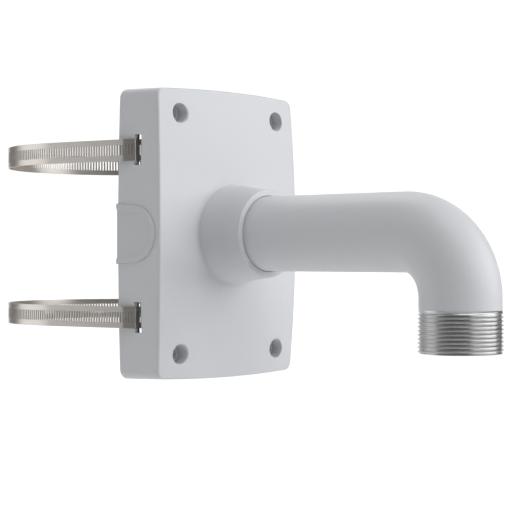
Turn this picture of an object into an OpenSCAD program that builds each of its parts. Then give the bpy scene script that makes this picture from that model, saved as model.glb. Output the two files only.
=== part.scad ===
/* [Pole and straps] */
// Diameter of the pole that the straps hold
pole_d = 155.3; // [130:0.1:180]
// Width of a strap band
strap_w = 13.6; // [12:0.1:15]
// Thickness of a strap band
strap_t = 0.7; // [0.5:0.05:0.8]
// Height between the middles of the two straps
strap_spacing = 104.6; // [98:0.1:108]
// Angle in front of the pole's side at which a strap leaves the pole
strap_lead = 10.4; // [9.5:0.1:11]
// Depth inside the rear edge at which a strap starts to bend to its slot
strap_bend_depth = 7.7; // [6:0.1:9]
// Depth behind the rim's corners at which the straps cross the housing
cross_depth = 18.2; // [17.5:0.1:19]
// Width of a strap slot, from its front edge to its rear lip
slot_w = 5.5; // [4.5:0.1:6]
// Room in a strap slot above and below the strap together
slot_room = 5.5; // [2:0.1:7]
// Distance from one perforation to the next
perf_pitch = 2.06; // [1.8:0.02:2.4]
// Width of a perforation along the band
perf_w = 1; // [0.8:0.05:1.2]
// Height of a perforation across the band
perf_h = 6.4; // [5:0.1:7.5]

/* [Worm clamps] */
// Angle behind the pole's side at which the worm clamps sit
clamp_angle = 25; // [20:1:60]
// Thickness of the clamp housing's sheet
clamp_sheet = 0.8; // [0.6:0.05:1]
// Length of the clamp housing along the band
clamp_len = 15; // [14:0.1:17]
// Radius of the worm thread's crests
worm_r = 4.6; // [4.3:0.05:4.9]
// Depth of the worm thread
worm_thread = 0.9; // [0.8:0.05:1]
// Depth to which the crests reach into the perforations
worm_bite = 0.6; // [0.4:0.05:0.65]
// Size of the screw's hexagon across its flats
hex_af = 7; // [6:0.1:7.2]
// Length of the screw's hexagon
hex_len = 5; // [4:0.1:7]
// Length of the band's tail past the clamp
tail_len = 22; // [12:1:28]
// Radius of the screw's journal, on the head's side
journal_r = 2.5; // [2.2:0.1:3]
// Radius of the screw's tip
tip_r = 2; // [1.6:0.1:2.3]
// Width of the screwdriver slot
driver_w = 1.2; // [0.8:0.1:1.6]
// Depth of the screwdriver slot
driver_depth = 1.8; // [1.2:0.1:2.5]
// Width of the ears that hold the clamp's housing on its saddle
ear_w = 3; // [2:0.1:3.5]
// Distance of the ears from the clamp's middle
ear_y = 3.6; // [3:0.1:4.5]

/* [Housing] */
// Width of the front rim, from corner to corner
box_w = 121.9; // [116:0.1:130]
// Height of the front rim, from corner to corner
box_h = 180.3; // [176:0.1:200]
// Depth from the rim's corners to the rear edge
box_depth = 33.7; // [32:0.1:36]
// Draft of the walls, in degrees
draft = 1.9; // [1:0.1:2.5]
// How far the long sides bow out
side_bow = 1.85; // [0.5:0.05:3]
// How far the short sides bow out
end_bow = 1.65; // [0.5:0.05:3]
// Radius of the upright corners
corner_r = 4.8; // [4:0.1:8]
// Radius between the face and the walls
rim_r = 1.7; // [1:0.1:2.5]
// Rise of the face's centre above the rim's corners
crown_h = 6.3; // [5:0.1:7.5]
// Share of the crown that falls off towards the long sides
crown_share = 0.41; // [0.3:0.01:0.5]
// Thickness of the side walls
wall = 3.5; // [3:0.1:4]
// Thickness of the front wall
face_wall = 4; // [3.5:0.1:4.5]
// Radius of the inner edge between the walls and the floor
floor_r = 1; // [0.6:0.1:2]
// Thickness of the webs and ribs inside
rib_t = 2.5; // [2:0.1:3.5]
// Height of the webs beside the corner bosses
web_h = 25; // [18:0.5:27]
// Radius of the ground screw's boss
ground_boss_r = 6; // [5:0.1:7]
// Length of the ground screw's boss behind the rim's corners
ground_depth = 9; // [8:0.1:12]
// Distance of the ground screw from the plate's middle line
ground_x = 22; // [18:0.5:26]
// Distance of the ground screw from the lower rim
ground_edge = 18.2; // [17:0.1:22]

/* [Pole saddle] */
// Slope of the saddle's flanks, in degrees
saddle_slope = 25; // [24:0.5:27]
// Depth of the saddle's root inside the rear edge
saddle_depth = 20; // [18:0.1:21]

/* [Corner screws] */
// Distance between the corner holes across the plate
hole_dx = 88; // [84:0.1:92]
// Distance between the corner holes up the plate
hole_dz = 150.6; // [146:0.1:154]
// Diameter of the corner holes
hole_d = 9; // [7:0.1:9.5]
// Diameter of the counterbores
cbore_d = 12.3; // [11:0.1:13]
// Depth of the counterbores below the rim's corners
cbore_depth = 6; // [4:0.1:8]
// Diameter of the corner bosses
boss_d = 16.4; // [15.5:0.1:17]
// Distance of the corner bosses' ends from the rear edge
boss_gap = 3.8; // [2:0.1:6]

/* [Collar] */
// Diameter of the collar at its foot
collar_foot_d = 61.7; // [58:0.1:64]
// Diameter of the collar at its mouth
collar_mouth_d = 53.9; // [53:0.1:56]
// Height of the collar above the rim's corners
collar_h = 35.9; // [30:0.1:42]
// Radius of the fillet at the collar's foot
collar_fillet = 1.5; // [1:0.1:3]
// Radius of the collar's mouth edge
collar_edge = 1.5; // [1:0.1:1.8]
// Gap between the collar and the tube
collar_gap = 0.4; // [0.3:0.05:0.6]

/* [Arm] */
// Outer diameter of the arm tube
tube_d = 47.2; // [46:0.1:47.6]
// Inner diameter of the arm tube
tube_bore = 40; // [38:0.1:41]
// Distance from the rim's corners to the upright axis
arm_reach = 184; // [170:1:210]
// Radius of the elbow at the tube's axis
bend_r = 38; // [32:0.5:44]
// Drop from the tube's axis to the thread's end
arm_drop = 68.9; // [66:0.1:90]
// Length of the pipe thread
thread_len = 24.6; // [22:0.1:26]
// Diameter over the thread's crests
thread_d = 48.26; // [47.8:0.01:49]
// Pitch of the pipe thread
thread_pitch = 2.209; // [2:0.001:2.4]
// Depth of the pipe thread
thread_depth = 1.77; // [1.4:0.01:1.9]

/* [Arm fixing] */
// Diameter of the arm's flange
flange_d = 68; // [66:0.5:72]
// Thickness of the arm's flange
flange_t = 4; // [3:0.1:4.5]
// Thickness of the flange gasket
gasket_t = 1; // [0.6:0.1:1.5]
// Depth of the flange seat behind the rim's corners
seat_depth = 6; // [5:0.1:7]
// Pitch circle of the flange screws
flange_pcd = 57.5; // [57:0.1:59]
// Number of flange screws
flange_screws = 4; // [3:1:6]
// Thread diameter of the flange screws and the ground screw
screw_d = 5; // [4:0.5:5]
// How far the flange screws' ends stay short of the face
screw_short = 3; // [2:0.1:5]
// Thickness of the washers
washer_t = 1; // [0.8:0.1:1.2]
// Cross-section of the sealing ring
ring_d = 2; // [1.6:0.1:2.2]

/* [Cable entries] */
// Diameter of the round end of a cable entry cover
entry_d = 35; // [30:0.1:38]
// Flare of a cover's sides, in degrees
entry_flare = 5.4; // [2:0.1:7]
// Depth of a cover's round end behind the rim's corners
entry_setback = 0.6; // [0.4:0.1:2]
// Height that a cover stands out from the wall
entry_rise = 1; // [0.6:0.1:1.4]
// Width of a cover's raised border
entry_border = 5; // [4:0.1:6]
// Depth of the sunk panel inside the border
entry_sink = 0.7; // [0.4:0.05:0.9]
// Overlap of a cover's border on the wall
entry_lap = 5.5; // [4.5:0.1:7]
// Thickness of a cover's panel and of the plug's wall
entry_sheet = 2; // [1.6:0.1:2.5]
// How far a cover's plug reaches past the wall
entry_plug = 2; // [1.5:0.1:3]
// How far the plug's lip grips over the wall's inside
entry_grip = 0.8; // [0.5:0.1:1.5]

/* [Hidden] */
$fn = 96;

// Clearances between pieces
fit = 0.05;
slip = 0.1;
loose = 0.3;
// A lapped stretch of band lies this far inside the faces of its neighbour
lap_in = 0.02;
lap_len = 0.8;
// Overshoot of a cut past the face that it leaves
past = 1;

// Pole seat: where the saddle's flanks touch the pole, and so where the plate stands
seat_r = pole_d / 2 + fit;
saddle_root = seat_r / cos(saddle_slope);
rear_y = -(saddle_root - saddle_depth);
rim_y = rear_y - box_depth;

half_w = box_w / 2;
half_h = box_h / 2;
rear_grow = box_depth * tan(draft);
tube_r = tube_d / 2;
bore_r = tube_bore / 2;

// Band levels at a worm clamp, counted outwards from the saddle
saddle_in = seat_r + fit;
saddle_out = saddle_in + clamp_sheet;
band1_in = saddle_out + fit;
band2_in = band1_in + strap_t + slip;
band2_out = band2_in + strap_t;
worm_axis = band2_out + worm_r - worm_bite;
tail_in = seat_r + strap_t + slip;

// Depths along the arm's axis, positive out of the plate
flange_front = -seat_depth - gasket_t;
flange_back = flange_front - flange_t;

// The point at part t of a smooth step from 0 to 1
function smooth(t) = t * t * (3 - 2 * t);

// Height of the crowned face over the rim's corners, at x across and z up
function crown(x, z) = crown_h * (1 - crown_share * pow(x / half_w, 2)
  - (1 - crown_share) * pow(z / half_h, 2));

// One corner arc of a rounded rectangle, from angle a to a + 90
function corner(cx, cz, r, a, n = 5) =
  [for (i = [0:n]) [cx + r * cos(a + 90 * i / n), cz + r * sin(a + 90 * i / n)]];

// Points strictly between two points
function between(p, q, n) = [for (i = [1:n - 1]) p + (q - p) * i / n];

// Bows the sides of a rectangle out: each side is widest at its middle
function bow(p, hw, hh) = [
  p.x * (1 + side_bow / hw * (1 - pow(p.y / hh, 2))),
  p.y * (1 + end_bow / hh * (1 - pow(p.x / hw, 2)))
];

// Outline of the housing, moved in by inset and grown for the draft at depth 0 to 1
function outline(inset, grow = 0) =
  let (
    hw = half_w + grow - inset,
    hh = half_h + grow - inset,
    r = max(corner_r + grow - inset, 1),
    a = corner(hw - r, hh - r, r, 0),
    b = corner(r - hw, hh - r, r, 90),
    c = corner(r - hw, r - hh, r, 180),
    d = corner(hw - r, r - hh, r, 270),
    flat = concat(
      a, between(a[5], b[0], 8), b, between(b[5], c[0], 12),
      c, between(c[5], d[0], 8), d, between(d[5], a[0], 12))
  ) [for (p = flat) bow(p, hw, hh)];

// A closed skin through rings of equal length, with a flat first ring and a centre point
module loft(rings, tip) {
  n = len(rings[0]);
  m = len(rings);
  points = concat([for (ring = rings) for (p = ring) p], [tip]);
  function quad(k, i) =
    let (j = (i + 1) % n, a = k * n)
    [[a + i, a + n + j, a + j], [a + i, a + n + i, a + n + j]];
  polyhedron(
    points,
    concat(
      [[for (i = [0:n - 1]) i]],
      [for (k = [0:m - 2]) for (i = [0:n - 1]) for (f = quad(k, i)) f],
      [for (i = [0:n - 1]) [(m - 1) * n + i, m * n, (m - 1) * n + (i + 1) % n]]
    )
  );
}

// Rings of a crowned block: straight drafted walls, a rounded rim and the crowned face
function block_rings(inset, r, drop, back) =
  let (
    edge = outline(inset + r),
    foot = outline(inset, rear_grow)
  ) concat(
    [[for (p = foot) [p.x, p.y, -box_depth - back]]],
    [for (a = [0:30:90])
      let (ring = outline(inset + r * (1 - cos(a))))
      [for (i = [0:len(ring) - 1])
        [ring[i].x, ring[i].y, crown(edge[i].x, edge[i].y) - drop - r * (1 - sin(a))]]],
    [for (s = [0.9, 0.75, 0.5, 0.25])
      [for (p = edge) [p.x * s, p.y * s, crown(p.x * s, p.y * s) - drop]]]
  );

// Puts children in the plate's frame: x across, y up, z out of the plate
module on_plate() {
  translate([0, rim_y, 0]) rotate([90, 0, 0]) children();
}

// Repeats children at the four corner holes
module at_corners() {
  for (x = [-1, 1], z = [-1, 1])
    translate([x * hole_dx / 2, z * hole_dz / 2, 0]) children();
}

// A cylinder between two depths of the plate's frame
module post(r, from, to) {
  translate([0, 0, from]) cylinder(r = r, h = to - from);
}

// Half width and half height of the housing's rear edge at the middle of its sides
rear_half = half_w + rear_grow + side_bow;
rear_half_h = half_h + rear_grow + end_bow;

// Puts children on the right wall: x towards the rear from the rim's corners, z outwards
module on_wall() {
  translate([rear_half - box_depth * tan(draft), 0, 0]) rotate([0, 90 - draft, 0]) children();
}

// The U outline of a cable entry, grown by g, from its round end to x = rear
module entry_shape(g, rear) {
  r = entry_d / 2 + g;
  cx = entry_setback + entry_d / 2;
  tx = cx - r * sin(entry_flare);
  tz = r * cos(entry_flare);
  rz = tz + (rear - tx) * tan(entry_flare);
  intersection() {
    translate([cx, 0]) circle(r);
    translate([cx - r - past, -r - past]) square([rear - cx + r + past, 2 * (r + past)]);
  }
  polygon([[tx, -tz], [rear, -rz], [rear, rz], [tx, tz]]);
}

slot_lip = cross_depth + strap_t / 2 + 2 * slip;
slot_ramp = 1.6;

// A strap slot through the right wall: a window whose rear lip slopes away outwards
module strap_slot() {
  inside = half_w - wall - 2;
  outside = rear_half + past;
  slot_h = strap_w + slot_room;
  translate([0, slot_h / 2, 0]) rotate([90, 0, 0]) linear_extrude(slot_h)
    polygon([
      [inside, slot_w - slot_lip], [outside, slot_w - slot_lip],
      [outside, -slot_lip - slot_ramp], [rear_half - wall + past, -slot_lip], [inside, -slot_lip]
    ]);
}

// Repeats children at the flange screws
module at_flange_screws() {
  for (i = [0:flange_screws - 1])
    rotate([0, 0, 45 + i * 360 / flange_screws]) translate([flange_pcd / 2, 0, 0]) children();
}

module housing_ribs() {
  for (x = [-1, 1], z = [-1, 1]) {
    // web from a corner boss to the side wall
    translate([x > 0 ? hole_dx / 2 : -rear_half, z * hole_dz / 2 - rib_t / 2, -web_h])
      cube([rear_half - hole_dx / 2, rib_t, web_h + crown_h]);
    // web from a corner boss to the end wall
    translate([x * hole_dx / 2 - rib_t / 2, z > 0 ? hole_dz / 2 : -rear_half_h, -web_h])
      cube([rib_t, rear_half_h - hole_dz / 2, web_h + crown_h]);
    // floor rib from the flange seat to a corner boss
    rotate([0, 0, atan2(z * hole_dz, x * hole_dx)])
      translate([flange_d / 2, -rib_t / 2, -seat_depth])
      cube([norm([hole_dx, hole_dz]) / 2 - flange_d / 2, rib_t, seat_depth + crown_h]);
  }
}

ground_z = ground_edge - half_h;

module collar_solid() {
  top = collar_mouth_d / 2;
  foot = collar_foot_d / 2;
  // the lowest height of the crowned face at the fillet's edge
  face = crown(foot + collar_fillet, 0);
  taper = atan((foot - top) / (collar_h - face));
  f = collar_fillet;
  // Fillet centre: f outside the tapered wall and f above the face
  fx = foot + f * cos(taper) - (f - f * sin(taper)) * tan(taper);
  e = collar_edge;
  bore = tube_r + collar_gap / 2;
  rotate_extrude()
    polygon(concat(
      [[bore, -1], [fx, -1]],
      [for (i = [0:6])
        let (a = 270 - i * (90 - taper) / 6)
        [fx + f * cos(a), face + f + f * sin(a)]],
      [for (i = [0:5])
        let (a = taper + i * (90 - taper) / 5)
        [top - e * cos(taper) + e * cos(a), collar_h - e + e * sin(a)]],
      [[bore, collar_h]]
    ));
}

module housing() color([0.85, 0.86, 0.87]) {
  on_plate() difference() {
    union() {
      difference() {
        loft(block_rings(0, rim_r, 0, 0), [0, 0, crown_h]);
        loft(block_rings(wall, floor_r, face_wall, past), [0, 0, crown_h - face_wall]);
      }
      collar_solid();
      // what stands on the inside ends halfway through the wall
      intersection() {
        loft(block_rings(wall / 2, floor_r, face_wall / 2, 0), [0, 0, crown_h - face_wall / 2]);
        union() {
          post(flange_d / 2 + rib_t, -seat_depth, crown_h);
          at_corners() post(boss_d / 2, boss_gap - box_depth, crown_h);
          housing_ribs();
          translate([ground_x, ground_z, 0]) post(ground_boss_r, -ground_depth, crown_h);
        }
      }
    }
    post(tube_r + collar_gap, -seat_depth - past, collar_h + past);
    // groove of the sealing ring
    translate([0, 0, collar_h / 2]) cylinder(r = tube_r + ring_d + loose, h = ring_d + 2 * slip);
    at_flange_screws() post(screw_d / 2 + fit, -seat_depth - past, crown_h - screw_short);
    at_corners() {
      post(hole_d / 2, -box_depth - past, crown_h);
      post(cbore_d / 2, -cbore_depth, crown_h);
    }
    translate([ground_x, ground_z, 0]) post(screw_d / 2 + fit, -ground_depth - past, 0);
    for (s = [0, 1], z = [-1, 1])
      mirror([s, 0, 0]) translate([0, z * strap_spacing / 2, 0]) strap_slot();
    for (s = [0, 1])
      mirror([s, 0, 0]) on_wall()
        translate([0, 0, -wall - 2]) linear_extrude(wall + 4)
        entry_shape(-entry_lap, box_depth + 3);
    // pole saddle in both end walls
    for (s = [0, 1])
      mirror([0, s, 0]) rotate([-90, 0, 0]) translate([0, 0, half_h - wall - 1])
        linear_extrude(wall + 8)
        polygon([
          [0, box_depth - saddle_depth],
          [(saddle_depth + past) / tan(saddle_slope), box_depth + past],
          [-(saddle_depth + past) / tan(saddle_slope), box_depth + past]
        ]);
  }
}

// A quarter bend of round bar, from the level stretch down to the upright one
module elbow(r) {
  translate([0, -bend_r, arm_reach - bend_r]) rotate([90, 0, 90])
    rotate_extrude(angle = 90) translate([bend_r, 0]) circle(r);
}

module arm_tube() color([0.86, 0.87, 0.88]) {
  straight = arm_reach - bend_r;
  on_plate() difference() {
    union() {
      post(tube_r, flange_back, straight);
      elbow(tube_r);
      translate([0, 0, arm_reach]) rotate([90, 0, 0]) {
        post(tube_r, bend_r, arm_drop - thread_len);
        thread_profile();
      }
    }
    post(bore_r, flange_back - past, straight);
    elbow(bore_r);
    translate([0, 0, arm_reach]) rotate([90, 0, 0]) post(bore_r, bend_r, arm_drop + past);
  }
}

// The pipe thread as rings: flat crests with V grooves between them
module thread_profile() {
  start = arm_drop - thread_len;
  crest = thread_d / 2;
  root = crest - thread_depth;
  rings = floor((thread_len - 1) / thread_pitch);
  rotate_extrude()
    polygon(concat(
      [[bore_r - 0.5, start], [crest, start]],
      [for (i = [1:rings])
        for (q = [[crest, -0.42], [root, 0], [crest, 0.42]])
          [q.x, start + i * thread_pitch + q.y * thread_pitch]],
      [[crest - 0.8, arm_drop], [bore_r - 0.5, arm_drop]]
    ));
}

module arm_flange() color([0.72, 0.73, 0.74]) {
  on_plate() difference() {
    post(flange_d / 2, flange_back, flange_front);
    post(tube_r + fit, flange_back - past, flange_front + past);
    at_flange_screws() post(screw_d / 2 + loose, flange_back - past, flange_front + past);
  }
}

module flange_gasket() color([0.12, 0.12, 0.13]) {
  on_plate() difference() {
    post(flange_d / 2, flange_front, -seat_depth);
    post(tube_r + collar_gap, flange_front - past, -seat_depth + past);
    at_flange_screws() post(screw_d / 2 + loose, flange_front - past, -seat_depth + past);
  }
}

module arm_seal_ring() color([0.1, 0.1, 0.11]) {
  on_plate() translate([0, 0, collar_h / 2 + slip + ring_d / 2])
    rotate_extrude() translate([tube_r + ring_d / 2 + slip, 0]) circle(r = ring_d / 2, $fn = 32);
}

// Pan head of a screw of diameter 1: radius, height, and the hexagon socket
head_r = 0.95;
head_h = 0.62;
head_taper = 0.25;
socket_r = 0.36;
socket_depth = 0.4;
washer_r = head_r * screw_d;

// A pan head screw that points towards +z, with its seat at z = 0
module pan_screw(d, len) {
  difference() {
    union() {
      cylinder(r = d / 2, h = len);
      translate([0, 0, -head_h * d])
        cylinder(r1 = (head_r - head_taper / 2) * d, r2 = head_r * d, h = head_taper * d);
      translate([0, 0, (head_taper - head_h) * d])
        cylinder(r = head_r * d, h = (head_h - head_taper) * d);
    }
    translate([0, 0, -head_h * d - past])
      cylinder(r = socket_r * d, h = socket_depth * d + past, $fn = 6);
  }
}

module flange_screws_node() color([0.7, 0.7, 0.72]) {
  len = crown_h - screw_short - slip - flange_back + washer_t;
  on_plate() at_flange_screws()
    translate([0, 0, flange_back - washer_t]) pan_screw(screw_d, len);
}

module flange_washers() color([0.75, 0.75, 0.77]) {
  on_plate() at_flange_screws() difference() {
    post(washer_r, flange_back - washer_t, flange_back);
    post(screw_d / 2 + fit, flange_back - washer_t - past, flange_back + past);
  }
}

module ground_screw() color([0.75, 0.68, 0.4]) {
  on_plate() translate([ground_x, ground_z, -ground_depth - washer_t])
    pan_screw(screw_d, washer_t + ground_depth - slip);
}

// The ground screw's washer has teeth round its edge
module ground_washer() color([0.78, 0.78, 0.8]) {
  tooth = 1;
  tooth_depth = 0.9;
  on_plate() translate([ground_x, ground_z, -ground_depth]) difference() {
    post(washer_r + tooth_depth / 2, -washer_t, 0);
    post(screw_d / 2 + fit, -washer_t - past, past);
    for (a = [0:30:359])
      rotate([0, 0, a]) translate([washer_r - tooth_depth / 2, -tooth / 2, -washer_t - past])
        cube([tooth_depth + past, tooth, washer_t + 2 * past]);
  }
}

// A cable entry cover for the right wall: a border, a sunk panel and a plug through the wall
module entry_cover() {
  rear = box_depth + loose;
  end = -wall - entry_plug;
  on_wall() difference() {
    union() {
      translate([0, 0, slip]) linear_extrude(entry_rise - slip) entry_shape(0, rear);
      translate([0, 0, end]) linear_extrude(slip - end) entry_shape(-entry_lap - slip, rear);
      // lip inside the wall
      translate([0, 0, end]) linear_extrude(entry_plug - slip)
        entry_shape(entry_grip - entry_lap, rear);
    }
    translate([0, 0, entry_rise - entry_sink]) linear_extrude(past + entry_sink)
      entry_shape(-entry_border, rear + past);
    // hollow behind the panel
    translate([0, 0, end - past]) linear_extrude(past - end - entry_sheet + entry_rise - entry_sink)
      entry_shape(-entry_lap - slip - entry_sheet, rear - entry_sheet);
  }
}

module entry_cover_right() color([0.83, 0.84, 0.85]) on_plate() entry_cover();
module entry_cover_left() color([0.83, 0.84, 0.85]) on_plate() mirror([1, 0, 0]) entry_cover();

// A sector of a flat ring between two angles less than 240 apart
module sector(r0, r1, a0, a1) {
  mid = (a0 + a1) / 2;
  // the wedge's corners lie outside the ring, and so do its edges
  far = 2 * r1 / cos(min((a1 - a0) / 2, 60));
  intersection() {
    difference() {
      circle(r1, $fn = 360);
      circle(r0, $fn = 360);
    }
    polygon([[0, 0], far * [cos(a0), sin(a0)], far * [cos(mid), sin(mid)], far * [cos(a1), sin(a1)]]);
  }
}

// A strip of band between two angles whose inner radius steps from r0 to r1
module band_step(r0, r1, a0, a1) {
  n = 8;
  function ray(i) = let (a = a0 + (a1 - a0) * i / n) [cos(a), sin(a)];
  function rad(i) = r0 + (r1 - r0) * smooth(max(0, min(1, i / n)));
  polygon(concat(
    [for (i = [-1:n + 1]) (rad(i) + lap_in) * ray(i)],
    [for (i = [n + 1:-1:-1]) (rad(i) + strap_t - lap_in) * ray(i)]
  ));
}

// Angles of the band's stretches at the clamp, in degrees about the pole
clamp_half = clamp_len / 2 / band2_out * 180 / PI;
step_span = 6;
tail_span = 4;
fixed_end = clamp_angle + clamp_half * 0.8;
fixed_step = clamp_angle - clamp_half - 1;
over_step = clamp_angle + clamp_half + 1.5;
tail_step = clamp_angle - clamp_half * 0.93;
tail_end = clamp_angle - clamp_half - tail_len / tail_in * 180 / PI;

// The strap's way from the pole to the right slot, as points on its middle line
mid_r = seat_r + strap_t / 2;
leave = mid_r * [cos(strap_lead), -sin(strap_lead)];
bend_y = rear_y - strap_bend_depth;
bend_x = leave.x - (leave.y - bend_y) * tan(strap_lead);
cross_y = rim_y + cross_depth;
fold_x = rear_half - 0.3;
fold_r = 0.9;

// The straight stretches on both sides and the crossing between them, as one outline
module strap_run() {
  t = strap_t / 2 - lap_in;
  side = [cos(strap_lead), -sin(strap_lead)];
  // the run starts a little way back along the pole
  start = leave + [sin(strap_lead), cos(strap_lead)] * lap_len;
  turn = atan2(bend_x - fold_x, bend_y - cross_y);
  cut = [cos(turn), -sin(turn)];
  // middle of the fold's curve, where the band turns into the housing
  c = [fold_x - fold_r, cross_y + fold_r];
  n = 5;
  function fold(r) = [for (i = [0:n]) let (a = -turn - i * (90 - turn) / n) c + r * [cos(a), sin(a)]];
  outer = concat([start + t * side, [bend_x, bend_y] + t * (side + cut) / 2], fold(fold_r + t));
  inner = concat([start - t * side, [bend_x, bend_y] - t * (side + cut) / 2], fold(fold_r - t));
  m = len(outer) - 1;
  polygon(concat(
    outer,
    [for (i = [m:-1:0]) [-outer[i].x, outer[i].y]],
    [for (i = [0:m]) [-inner[i].x, inner[i].y]],
    [for (i = [m:-1:0]) inner[i]]
  ));
}

// Children's outline as a stretch of band, with its edges moved in by inset
module band(inset = 0) {
  translate([0, 0, inset - strap_w / 2]) linear_extrude(strap_w - 2 * inset) children();
}

// The whole band, stretch by stretch
module strap_band() {
  // round the back, from the clamp to the left side
  band() sector(seat_r, seat_r + strap_t, over_step + step_span, 180 + strap_lead);
  // from the right side to the clamp, then under the screw
  band() sector(seat_r, seat_r + strap_t, -strap_lead, fixed_step - step_span);
  band(lap_in) band_step(seat_r, band1_in, fixed_step - step_span, fixed_step);
  band() sector(band1_in, band1_in + strap_t, fixed_step, fixed_end);
  // over the fixed end, out of the clamp and down to the tail
  band(lap_in) band_step(band2_in, seat_r, over_step, over_step + step_span);
  band() sector(band2_in, band2_out, tail_step, over_step);
  band(lap_in) band_step(tail_in, band2_in, tail_step - tail_span, tail_step);
  band() sector(tail_in, tail_in + strap_t, tail_end, tail_step - tail_span);
  band(lap_in) strap_run();
}

// Perforations along a stretch of arc
module arc_slots(r, a0, a1, start) {
  step = perf_pitch / (r + strap_t / 2) * 180 / PI;
  for (k = [ceil((a0 - start) / step):floor((a1 - start) / step)])
    rotate([0, 0, start + k * step]) translate([r - fit, -perf_w / 2, -perf_h / 2])
      cube([strap_t + 2 * fit, perf_w, perf_h]);
}

module strap() {
  run = norm(leave - [bend_x, bend_y]);
  dir = ([bend_x, bend_y] - leave) / run;
  difference() {
    strap_band();
    arc_slots(seat_r, over_step + step_span + 1, 180 + strap_lead, clamp_angle);
    arc_slots(seat_r, -strap_lead, fixed_step - step_span - 1, clamp_angle);
    arc_slots(band2_in, tail_step, over_step, clamp_angle);
    arc_slots(tail_in, tail_end + 1, tail_step - tail_span - 0.5, clamp_angle);
    for (s = [0, 1]) mirror([s, 0, 0]) {
      for (k = [1:floor((run + 5.5) / perf_pitch)])
        translate(leave + dir * (k - 0.5) * perf_pitch) rotate([0, 0, -strap_lead])
          translate([-strap_t, -perf_w / 2, -perf_h / 2])
          cube([2 * strap_t, perf_w, perf_h]);
      for (k = [0:floor((fold_x - 2.5) / perf_pitch)])
        translate([(k + 0.5) * perf_pitch - perf_w / 2, cross_y - strap_t, -perf_h / 2])
          cube([perf_w, 2 * strap_t, perf_h]);
    }
  }
}

module strap_upper() color([0.74, 0.73, 0.71]) translate([0, 0, strap_spacing / 2]) strap();
module strap_lower() color([0.74, 0.73, 0.71]) translate([0, 0, -strap_spacing / 2]) strap();

// Puts children at a clamp: x outwards from the pole, y round to the rear
module at_clamp(s) {
  translate([0, 0, s * strap_spacing / 2]) rotate([0, 0, clamp_angle]) children();
}

skirt_in = strap_w / 2 + slip;
skirt_out = skirt_in + clamp_sheet;
arch_in = worm_r + loose;
arch_out = arch_in + clamp_sheet;
shoulder_in = band2_out + slip;

// The arch over the worm, with a plate at each end that carries the screw
module clamp_arch() {
  half = clamp_len / 2;
  foot = worm_axis - shoulder_in;
  difference() {
    union() {
      along_band(-half, half) circle(arch_out);
      along_band(-half, half) translate([0, -arch_out]) square([foot, 2 * arch_out]);
    }
    along_band(clamp_sheet - half, half - clamp_sheet) circle(arch_in);
    along_band(clamp_sheet - half, half - clamp_sheet)
      translate([0, -arch_in]) square([foot + past, 2 * arch_in]);
    along_band(-half - past, 0) circle(journal_r + fit);
    along_band(0, half + past) circle(tip_r + fit);
    // the foot follows the band
    translate([0, 0, -arch_out - past]) cylinder(r = shoulder_in + slip, h = 2 * (arch_out + past));
  }
}

// An outline swept along the worm's axis: x towards the pole, y up the pole
module along_band(from, to) {
  translate([worm_axis, from, 0]) rotate([-90, 0, 0]) rotate([0, 0, 180])
    linear_extrude(to - from) mirror([0, 1]) children();
}

module clamp_housing() {
  clamp_arch();
  difference() {
    for (s = [0, 1]) mirror([0, 0, s]) {
      translate([0, 0, arch_in]) linear_extrude(skirt_in + clamp_sheet / 2 - arch_in)
        sector(shoulder_in, shoulder_in + clamp_sheet, -clamp_half, clamp_half);
      translate([0, 0, skirt_in]) linear_extrude(clamp_sheet)
        sector(saddle_in, shoulder_in + clamp_sheet - lap_in, -clamp_half - 0.1, clamp_half + 0.1);
    }
    // windows for the saddle's ears
    for (s = [-1, 1])
      translate([saddle_in - slip, s * ear_y - ear_w / 2 - slip, -skirt_out - past])
        cube([clamp_sheet + 3 * slip, ear_w + 2 * slip, 2 * (skirt_out + past)]);
  }
}

module clamp_saddle() {
  translate([0, 0, slip - skirt_in]) linear_extrude(2 * (skirt_in - slip))
    sector(saddle_in, saddle_out, -clamp_half, clamp_half);
  // ears that hold the clamp's housing
  intersection() {
    translate([0, 0, -skirt_out - 0.3]) linear_extrude(2 * (skirt_out + 0.3))
      sector(saddle_in, saddle_out, -clamp_half, clamp_half);
    for (s = [-1, 1])
      translate([saddle_in - past, s * ear_y - ear_w / 2, -skirt_out - past])
        cube([clamp_sheet + 2 * past, ear_w, 2 * (skirt_out + past)]);
  }
}

// Half widths of a worm ring at its root and at its crest
ring_root = 0.4;
ring_crest = 0.2;

// The screw: slotted hexagon, collar, neck, worm rings and tip, pointing towards +y
module worm_screw() {
  half = clamp_len / 2;
  head = half + loose;
  tip = half + 2 * loose;
  root = worm_r - worm_thread;
  body_half = half - clamp_sheet - 2 * slip;
  rings = floor((body_half - ring_root) / perf_pitch);
  translate([worm_axis, 0, 0]) rotate([-90, 0, 0]) difference() {
    union() {
      rotate_extrude()
        polygon(concat(
          [[0, -head], [journal_r, -head], [journal_r, -body_half], [root, -body_half]],
          [for (k = [-rings:rings])
            for (q = [[root, -ring_root], [worm_r, -ring_crest], [worm_r, ring_crest], [root, ring_root]])
              [q.x, k * perf_pitch + q.y]],
          [[root, body_half], [tip_r, body_half], [tip_r, tip], [0, tip]]
        ));
      translate([0, 0, -head - hex_len]) cylinder(r = hex_af / 2 / cos(30), h = hex_len, $fn = 6);
    }
    translate([-hex_af, -driver_w / 2, -head - hex_len - past])
      cube([2 * hex_af, driver_w, past + driver_depth]);
  }
}

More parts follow.
